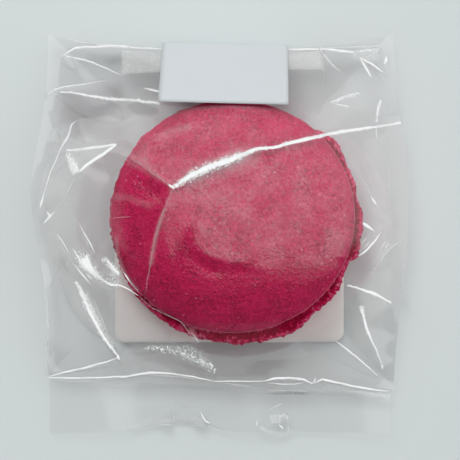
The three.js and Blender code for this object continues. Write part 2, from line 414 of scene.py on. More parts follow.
# Painted highlight: a thin paler line along the rim of the cap.
colour = mix_colour(tree, edge, colour, RIM_HIGHLIGHT_PINK)
bump = put(tree, "ShaderNodeBump", {"Strength": 0.9, "Distance": 0.4 * MM, "Height": grain["Height"]})
finish_material(
    tree,
    put(
        tree,
        "ShaderNodeBsdfPrincipled",
        {
            "Base Color": colour,
            "Roughness": 0.82,
            "Specular IOR Level": 0.12,
            "Sheen Weight": 0.03,
            "Sheen Roughness": 0.5,
            "Normal": bump.outputs[0],
        },
    ),
)
print("nodes in the meringue:", len(tree.nodes))

# %% [markdown]
# ## The shells
#
# A shell is piped as a round of batter, so it is a shape of revolution that is a little uneven.
# From its middle out it is a flat dome, then a crisp edge that turns under, then the foot: the
# frilly ring that lifts the cap as it bakes. One mesh holds all of it, made ring by ring, so
# that the cap and its foot stay one closed piece. The dome carries the low swirl that the
# piping left. The frill is torn by noise of four sizes, from broad ruffles to fine crumbs. The
# lower shell is the same shape, upside down.

# %% Rings to a closed mesh
def closed_rings(name, rings, material):
    """Closes nested rings of points, given from the first pole out and back to the last pole."""
    count = len(rings[0])
    first, last = np.mean(rings[0], axis=0), np.mean(rings[-1], axis=0)
    points = [first, *np.concatenate(rings), last]
    faces = []
    for i in range(count):
        j = (i + 1) % count
        faces.append((0, 1 + i, 1 + j))
        for ring in range(len(rings) - 1):
            inner, outer = 1 + ring * count, 1 + (ring + 1) * count
            faces.append((inner + i, outer + i, outer + j, inner + j))
        end = 1 + (len(rings) - 1) * count
        faces.append((len(points) - 1, end + j, end + i))
    return mesh_object(name, points, faces, material)


def point_mask(piece, name, values):
    """Gives a mesh a mask: one number for each of its points."""
    attribute = piece.data.attributes.new(name, "FLOAT", "POINT")
    attribute.data.foreach_set("value", np.asarray(values, np.float32))


def smoothstep(low, high, value):
    """0 below low, 1 above high, and a smooth rise between them."""
    t = np.clip((np.asarray(value, float) - low) / (high - low), 0, 1)
    return t * t * (3 - 2 * t)


# %% The swirl
# The piped swirl: a low step that curls round the middle and fades along its way.
SWIRL = {"x": 0.4, "y": 1.2, "radius": 7.0, "opening": 2.6, "reach": 6.5}
# The step's height and width where it begins, and where it has opened out, in millimetres.
STEP = {"height": (0.34, 0.74), "width": (1.6, 2.8)}
NUB = {"x": -3.6, "y": 1.6, "height": 0.35, "radius": 2.2}
LUMPS = {"height": 0.15, "pitch": 1.9, "spread": 10.0}


def swirl_height(x, y):
    """The relief at a point: raised inside the step, sunk outside it, and level far from it."""
    dx, dy = x - SWIRL["x"], y - SWIRL["y"]
    turn = math.degrees(math.atan2(dy, dx)) % 360
    radius = SWIRL["radius"] + SWIRL["opening"] * float(smoothstep(265, 320, turn))
    fade = float(smoothstep(160, 228, turn) * (1 - smoothstep(235, 325, turn) * 0.8))
    fade *= float(1 - smoothstep(325, 350, turn))
    outwards = math.hypot(dx, dy) - radius
    opened = float(smoothstep(208, 250, turn))
    height, width = (start + (end - start) * opened for start, end in (STEP["height"], STEP["width"]))
    step = 0.5 - float(smoothstep(-width / 2, width / 2, outwards))
    near = math.exp(-((outwards / SWIRL["reach"]) ** 2))
    nub = math.exp(-((x - NUB["x"]) ** 2 + (y - NUB["y"]) ** 2) / NUB["radius"] ** 2)
    lumps = noise.noise(Vector((x / LUMPS["pitch"], y / LUMPS["pitch"], 4.0)))
    lumps *= math.exp(-((dx - 1) ** 2 + (dy + 1) ** 2) / LUMPS["spread"] ** 2)
    return height * fade * step * near + NUB["height"] * nub + LUMPS["height"] * lumps


# %% Shells
SPOKES = 760
DOME_RINGS = 64
FOOT_RINGS = 12
# The scale of the frill's noise, as the radius of a round that it is drawn on.
MEAN_RADIUS = 24.0
# The crisp edge turns under: steps in from its rim and below it, with the foot mask and the painted rim
# highlight.
EDGE_STEPS = ((0.02, 0.28, 0.0, 0.8), (0.22, 0.5, 0.0, 0.0), (0.75, 0.62, 0.35, 0.0))
# The level side of the frill, as steps in from its rim and how far each lies below or above it.
FOOT_STEPS = ((0.25, 0.03), (0.5, 0.0), (0.8, -0.1), (1.15, -0.25), (1.6, -0.4), (2.2, -0.5))

# The frill begins this far below the edge and tucked in this far. Ruffles move it in or out, and
# knobs and flakes up or down.
FRILL = {"begins": 0.62, "tuck": 0.9, "ruffle": 0.8, "knob": 0.34, "flake": 0.24}
# size of tear: (features to the millimetre across, and upwards, which way its seed goes, share)
TEARS = {
    "ruffles": (0.16, 0.20, 1, 0.40),
    "chunks": (0.42, 1.1, 1, 0.45),
    "crumbs": (1.2, 2.4, -1, 0.42),
    "fine crumbs": (2.4, 3.6, 1, 0.40),
}
# How uneven the cap is: out of round, with broad lumps and a slight roughness.
UNEVEN = {"round": 0.006, "lumps": 0.16, "lump_scale": 0.13, "rough": 0.035, "rough_scale": 0.9}

# How far the lower frill stands out or is torn away at each direction, in degrees and mm.
BITES = (
    (0, 0.1), (3, 0.2), (8, 0.0), (12, -0.4), (19, -0.2), (27, 0.2), (33, 0.7), (38, 1.1),
    (43, 1.1), (47, 0.6), (52, 0.0), (280, 0.0), (295, 0.2), (303, -0.2), (311, -0.8), (320, -0.7),
    (326, -0.5), (332, -1.3), (338, -1.7), (341, -1.0), (344, 0.1), (352, 0.0), (360, 0.1),
)
# Between these directions the cap's rim is a little knobbly. Elsewhere it's an even curve.
KNOBBLY = {"from": 95, "to": 240, "soft": 20, "height": 0.22, "pitch": 1.5}

TOP_SHELL = {
    "centre": (2.5, 3.7),
    "radii": (24.1, 22.9),
    "edge_z": 12.9,
    "height": 8.0,
    "foot_centre": (2.4, 3.6),
    "foot_radii": (24.1, 23.0),
    "foot_height": 1.9,
    "foot_bites": ((0, 0.0), (360, 0.0)),
    "seed": 3.0,
}
BOTTOM_SHELL = {
    "centre": (3.3, 2.4),
    "radii": (24.0, 23.0),
    "edge_z": 7.4,
    "height": 4.9,
    "foot_centre": (3.4, 2.3),
    "foot_radii": (24.9, 23.9),
    "foot_height": 2.3,
    "foot_bites": BITES,
    "seed": 11.0,
}


def torn(x, y, z, seed):
    """How far the frill stands out or in: broad ruffles, torn chunks and crumbs on them."""
    total = 0.0
    for across, upwards, way, share in TEARS.values():
        total += share * noise.noise(Vector((x * across, y * across, z * upwards + way * seed)))
    return total


def shell_piece(name, sizes, upside_down):
    """A cap with its foot. Upside down, the dome points to the table."""
    way = -1 if upside_down else 1
    cx, cy = sizes["centre"]
    fx, fy = sizes["foot_centre"]
    rings, foot_mask, rim_highlight_mask, proud_mask = [], [], [], []

    def knobs(angle):
        """How far the cap's rim stands out at one direction, as a share of its radius."""
        turn = math.degrees(angle) % 360
        there = smoothstep(KNOBBLY["from"], KNOBBLY["from"] + KNOBBLY["soft"], turn)
        there *= 1 - smoothstep(KNOBBLY["to"] - KNOBBLY["soft"], KNOBBLY["to"], turn)
        at = Vector((math.cos(angle), math.sin(angle), 0)) * MEAN_RADIUS / KNOBBLY["pitch"]
        return float(there) * KNOBBLY["height"] / MEAN_RADIUS * noise.noise(at)

    def add_ring(rows, foot_value, rim_highlight_value, proud=None):
        """Keeps a ring of points and the masks of its points."""
        rings.append(np.array(rows))
        proud_mask.extend(proud or [0.5] * SPOKES)
        foot_mask.extend([foot_value] * SPOKES)
        rim_highlight_mask.extend([rim_highlight_value] * SPOKES)

    angles = [2 * math.pi * i / SPOKES for i in range(SPOKES)]
    for ring in range(1, DOME_RINGS + 1):
        share = math.sin(0.5 * math.pi * ring / DOME_RINGS)
        rise = sizes["height"] * (1 - share**2.4) ** (1 / 1.8)
        rows = []
        for angle in angles:
            at = Vector((math.cos(angle), math.sin(angle), sizes["seed"])) * 1.6
            wave = 1 + UNEVEN["round"] * noise.noise(at)
            wave += knobs(angle) * share**10
            x = cx + sizes["radii"][0] * share * wave * math.cos(angle)
            y = cy + sizes["radii"][1] * share * wave * math.sin(angle)
            relief = 0.0
            for height, scale in (("lumps", "lump_scale"), ("rough", "rough_scale")):
                at = Vector((x * UNEVEN[scale], y * UNEVEN[scale], sizes["seed"]))
                relief += UNEVEN[height] * noise.noise(at)
            relief *= 1 - share**6
            if not upside_down:
                relief += swirl_height(x, y)
            rows.append((x, y, sizes["edge_z"] + way * (rise + relief)))
        # The outermost rings of the dome carry the painted rim highlight.
        add_ring(rows, 0.0, float(smoothstep(0.990, 0.9995, share)))
    for inset, drop, foot_value, rim_highlight_value in EDGE_STEPS:
        rows = [
            (
                cx + (sizes["radii"][0] * (1 + knobs(angle)) - inset) * math.cos(angle),
                cy + (sizes["radii"][1] * (1 + knobs(angle)) - inset) * math.sin(angle),
                sizes["edge_z"] - way * drop,
            )
            for angle in angles
        ]
        add_ring(rows, foot_value, rim_highlight_value)
    # The frill's side goes from the rim of the cap to the gap, and its last rings lie level.
    rims = [(ring / FOOT_RINGS, 0.0, 0.0) for ring in range(FOOT_RINGS + 1)]
    rims += [(1.0, inset, lift) for inset, lift in FOOT_STEPS]
    for along, inset, lift in rims:
        bulge = math.sin(math.pi * min(1.0, 0.10 + 0.72 * along)) ** 0.6
        drop = FRILL["begins"] + (sizes["foot_height"] - FRILL["begins"]) * along + lift
        rows, proud = [], []
        for angle in angles:
            c, s = math.cos(angle), math.sin(angle)
            z = sizes["edge_z"] - way * drop
            radius = MEAN_RADIUS - 3 * inset
            stands = torn(fx + radius * c, fy + radius * s, z, sizes["seed"])
            bite = float(np.interp(math.degrees(angle), *zip(*sizes["foot_bites"])))
            reach = -FRILL["tuck"] + bulge * (FRILL["tuck"] + FRILL["ruffle"] * stands) + bite - inset
            x = fx + (sizes["foot_radii"][0] + reach) * c
            y = fy + (sizes["foot_radii"][1] + reach) * s
            knob = noise.noise(Vector((x * 1.1, y * 1.1, z + sizes["seed"])))
            flake = noise.noise(Vector((x * 2.6, y * 2.6, z * 2.6)))
            rows.append((x, y, z - way * along * (FRILL["knob"] * knob + FRILL["flake"] * flake)))
            # Crumb that stands out gets painted light, and the frill further in gets painted shade.
            stands_proud = 0.3 * stands + 0.5 * knob + 0.6 * flake - 0.35 * inset
            proud.append(float(smoothstep(-0.35, 0.30, stands_proud)))
        add_ring(rows, 1.0, 0.0, proud)
    # Upside down, the points of each ring run the other way round, so that the faces point out.
    # The masks keep their order, so there the painted light and shade of the crumbs lie mirrored to the
    # relief.
    piece = closed_rings(name, [r if not upside_down else r[::-1] for r in rings], meringue)
    point_mask(piece, "foot", [0.0, *foot_mask, 1.0])
    point_mask(piece, "edge", [0.0, *rim_highlight_mask, 0.0])
    point_mask(piece, "proud", [0.5, *proud_mask, 0.0])
    return piece


top_shell = shell_piece("top_shell", TOP_SHELL, upside_down=False)
bottom_shell = shell_piece("bottom_shell", BOTTOM_SHELL, upside_down=True)
for piece in (top_shell, bottom_shell):
    print(piece.name, "faces:", len(piece.data.polygons))

# %% [markdown]
# ## The filling
#
# The filling is a soft disc that the two shells press out until it nearly meets their edge. Only
# its side shows, deep in the gap, and it is a little wet. Its colour is darker than the shells, partly
# its own and partly painted shade of the gap.

# %% Filling
FILLING = {"centre": (2.9, 3.0), "radius": 22.6, "low": 9.3, "high": 11.3, "bulge": 0.7, "wave": 0.35}
FILLING_STEPS = 12
# A dark red that is partly the filling's own and partly painted shade of the gap.
FILLING_SHADE_RED = (0.25, 0.002, 0.018, 1.0)

filling_material, tree = new_material("filling")
cream = noise_of(tree, object_coordinates(tree), 700.0, 3.0)
bump = put(tree, "ShaderNodeBump", {"Strength": 0.4, "Distance": 0.2 * MM, "Height": cream})
filling_look = {"Base Color": FILLING_SHADE_RED, "Roughness": 0.38, "Normal": bump.outputs[0]}
finish_material(tree, put(tree, "ShaderNodeBsdfPrincipled", filling_look))

rings = []
for step in range(FILLING_STEPS + 1):
    lean = math.pi * step / FILLING_STEPS
    rows = []
    for i in range(SPOKES):
        angle = 2 * math.pi * i / SPOKES
        c, s = math.cos(angle), math.sin(angle)
        z = FILLING["low"] + (FILLING["high"] - FILLING["low"]) * (0.5 + 0.5 * math.cos(lean))
        wave = FILLING["wave"] * noise.noise(Vector((c * 4, s * 4, z * 0.5)))
        reach = FILLING["radius"] - 1.0 + math.sin(lean) * (FILLING["bulge"] + wave)
        rows.append((FILLING["centre"][0] + reach * c, FILLING["centre"][1] + reach * s, z))
    rings.append(np.array(rows))
filling = closed_rings("filling", rings, filling_material)
print("filling radius:", FILLING["radius"], "thickness:", round(FILLING["high"] - FILLING["low"], 2))

# %% [markdown]
# ## Paper
#
# The label is a smooth coated paper and the sachet a softer one. Both are white and matt, the
# label a shade greyer, and have a faint fibre that only shows in slanting light.

# %% Paper material
def paper_material(name, colour, shade, fibre, roughness):
    """White paper with a faint cloud in its colour and a fine fibre."""
    material, tree = new_material(name)
    fibres = grouped(tree, paper_fibre, object_coordinates(tree), Fibre=fibre)
    bump = put(tree, "ShaderNodeBump", {"Strength": 0.25, "Distance": 0.05 * MM, "Height": fibres["Height"]})
    finish_material(
        tree,
        put(
            tree,
            "ShaderNodeBsdfPrincipled",
            {
                "Base Color": mix_colour(tree, fibres["Cloud"], colour, shade),
                "Roughness": roughness,
                "Specular IOR Level": 0.35,
                "Normal": bump.outputs[0],
            },
        ),
    )
    return material


SACHET_WHITE = ((0.95, 0.93, 0.905, 1.0), (0.93, 0.905, 0.88, 1.0))
LABEL_WHITE = ((0.62, 0.65, 0.67, 1.0), (0.60, 0.63, 0.65, 1.0))
sachet_paper = paper_material("sachet_paper", *SACHET_WHITE, 1100.0, 0.6)
label_paper = paper_material("label_paper", *LABEL_WHITE, 1700.0, 0.5)
print("papers:", sachet_paper.name, label_paper.name)

# %% [markdown]
# ## The sachet
#
# The sachet is a small filled packet with round corners. Its outline is drawn once, as four
# straight sides with quarter circles between them, and copies of it shrink towards the middle
# while the thickness rises, steeply at first and then hardly at all, as in any filled packet.

# %% Sachet
SACHET = {"low": (-21.5, -21.7), "high": (25.2, 12.6), "corner": 2.2, "half_thickness": 1.2, "z": 1.35}
SACHET_LUMPS = {"share": 0.10, "scale": 0.2}
SACHET_RINGS = 26
OUTLINE_SPACING = 0.6
CORNER_STEPS = 10


def rounded_outline(low, high, corner):
    """A rectangle with round corners, anticlockwise."""
    outline = []
    for x, y, start in (
        (high[0] - corner, high[1] - corner, 0),
        (low[0] + corner, high[1] - corner, 90),
        (low[0] + corner, low[1] + corner, 180),
        (high[0] - corner, low[1] + corner, 270),
    ):
        for step in range(CORNER_STEPS + 1):
            angle = math.radians(start + 90 * step / CORNER_STEPS)
            outline.append((x + corner * math.cos(angle), y + corner * math.sin(angle)))
    return outline


def spread(outline, spacing):
    """The same outline with points along its straight sides too."""
    dense = []
    for (x0, y0), (x1, y1) in zip(outline, outline[1:] + outline[:1]):
        steps = max(1, round(math.hypot(x1 - x0, y1 - y0) / spacing))
        dense += [(x0 + (x1 - x0) * i / steps, y0 + (y1 - y0) * i / steps) for i in range(steps)]
    return np.array(dense)


def puffed(x, y, side):
    """How much thicker or thinner than usual the filled sachet is at a point."""
    return 1 + SACHET_LUMPS["share"] * noise.noise(
        Vector((x * SACHET_LUMPS["scale"], y * SACHET_LUMPS["scale"], side))
    )


outline = spread(rounded_outline(SACHET["low"], SACHET["high"], SACHET["corner"]), OUTLINE_SPACING)
middle = (np.array(SACHET["low"]) + np.array(SACHET["high"])) / 2
rings = []
for side in (1, -1):
    shares = [math.sin(0.5 * math.pi * i / SACHET_RINGS) for i in range(1, SACHET_RINGS + 1)]
    for share in shares if side == 1 else shares[-2::-1]:
        flat = middle + (outline - middle) * share
        thickness = SACHET["half_thickness"] * math.sqrt(max(0.0, 1 - share**7))
        rows = [(x, y, SACHET["z"] + side * thickness * puffed(x, y, side)) for x, y in flat]
        rings.append(np.array(rows))
sachet = closed_rings("sachet", rings, sachet_paper)
print("sachet size:", np.ptp(outline, axis=0).round(1))

# %% [markdown]
# ## How the film hangs
#
# The film is one tube, flattened into a front and a back sheet. The front sheet rests on the
# cap, leaves it at a shoulder and runs straight down to the rim, with a narrow flat margin. The
# drape is worked out from a few sizes: along a line from the cap's middle to the rim, the height
# is first the dome's and then a straight fall.

# %% Outline of the bag
CORNER_HALF_WIDTH = 35.0
LEFT_BULGE = {"reach": 3.0, "at": 9.0, "spread": 13.0}
RIGHT_BULGE = {"reach": 3.0, "at": 6.0, "spread": 22.0}
TOP_EDGE = 38.1
EAR_HEIGHT = 2.9
SEAL_MIDDLE = -30.2
SEAL_SLOPE = -0.045
PACK_END = -40.2
# The free end, as points from left to right.
END_POINTS = ((-35, -40.6), (-24, -40.0), (-18, -39.3), (-15, -38.6), (-9, -38.2), (-4, -38.5), (0, -39.6),
              (8, -40.5), (13, -40.8), (15, -39.9), (20, -40.3), (27, -40.2), (35, -40.7))


def bump_of(y, sizes):
    """How far a side stands out: most at one height, and less away from it."""
    return sizes["reach"] * np.exp(-(((y - sizes["at"]) / sizes["spread"]) ** 2))


def left_side(y):
    return -CORNER_HALF_WIDTH - bump_of(y, LEFT_BULGE)


def right_side(y):
    return CORNER_HALF_WIDTH + bump_of(y, RIGHT_BULGE)


def top_edge(x):
    return TOP_EDGE + EAR_HEIGHT * (np.abs(x) / CORNER_HALF_WIDTH) ** 4


def seal_line(x):
    return SEAL_MIDDLE + SEAL_SLOPE * x


def free_end(x):
    return np.interp(x, *zip(*END_POINTS))


# %% Heights of the film
DOME = {"x": 2.5, "y": 3.8, "top": 22.0, "radius": 21.0, "shoulder": 17.6, "roundness": 2.2}
RIM = {"corner": 2.8, "side": 4.2, "top": 2.0, "seal": 0.8}
# The front sheet falls over this share of the way to the rim, and the rest is a flat margin.
MARGIN_SHARE = 0.9
# The back sheet lies on the table out to this share of the way to the rim.
FLAT_SHARE = 0.55
LOWEST = 0.03


def rim_distance(dx, dy):
    """How far the outline is from the dome's middle, in the directions given."""
    near, far = np.full(dx.shape, 5.0), np.full(dx.shape, 80.0)
    for _ in range(40):
        tried = (near + far) / 2
        x, y = DOME["x"] + dx * tried, DOME["y"] + dy * tried
        inside = (x > left_side(y)) & (x < right_side(y)) & (y > seal_line(x)) & (y < top_edge(x))
        near, far = np.where(inside, tried, near), np.where(inside, far, tried)
    return near


def rim_height(x, y):
    """The height of the rim at a point on the outline: low at the corners."""
    gaps = np.stack([x - left_side(y), right_side(y) - x, top_edge(x) - y, y - seal_line(x)])
    side = np.argmin(np.abs(gaps), axis=0)
    along_side = 2 * (y - SEAL_MIDDLE) / (TOP_EDGE + EAR_HEIGHT - SEAL_MIDDLE) - 1
    along = np.where(side < 2, along_side, x / CORNER_HALF_WIDTH)
    lift = np.choose(side, [RIM["side"], RIM["side"], RIM["top"], RIM["seal"]])
    return RIM["corner"] + lift * (1 - np.clip(along, -1, 1) ** 2)


def drape(x, y):
    """The height of the front sheet and of the back sheet, without creases."""
    dx, dy = x - DOME["x"], y - DOME["y"]
    distance = np.maximum(np.hypot(dx, dy), 1e-6)
    dx, dy = dx / distance, dy / distance
    whole = rim_distance(dx, dy)
    edge = rim_height(DOME["x"] + dx * whole, DOME["y"] + dy * whole)
    outwards = np.minimum(distance, DOME["radius"]) / DOME["radius"]
    on_dome = DOME["top"] - (DOME["top"] - DOME["shoulder"]) * outwards ** DOME["roundness"]
    fall = np.clip((distance - DOME["radius"]) / (whole - DOME["radius"]), 0, 1)
    front = on_dome + (edge - DOME["shoulder"]) * np.clip(fall / MARGIN_SHARE, 0, 1)
    share = np.clip(distance / whole, 0, 1)
    behind = LOWEST + (edge - LOWEST) * np.clip((share - FLAT_SHARE) / (1 - FLAT_SHARE), 0, 1)
    return front, behind


print("pack from", PACK_END, "to", TOP_EDGE + EAR_HEIGHT, "mm, rim", RIM["corner"], "mm up at its corners")

# %% [markdown]
# ## The crease net
#
# Film doesn't stretch, so between its creases it stays nearly flat. Each crease is a line of a
# few points, with how far it stands proud of the smooth drape and how wide its glint is. The
# lines, the rim and a sparse scatter of points between them are joined into flat triangles. That
# gives the facets, and a light blur gives each crease its small radius. Further tables say where
# small sparks lie round a crease, where white patches of painted highlight lie on the film, where
# a darker tint paints in shade, and where the film's mirror is turned down as painted shade.

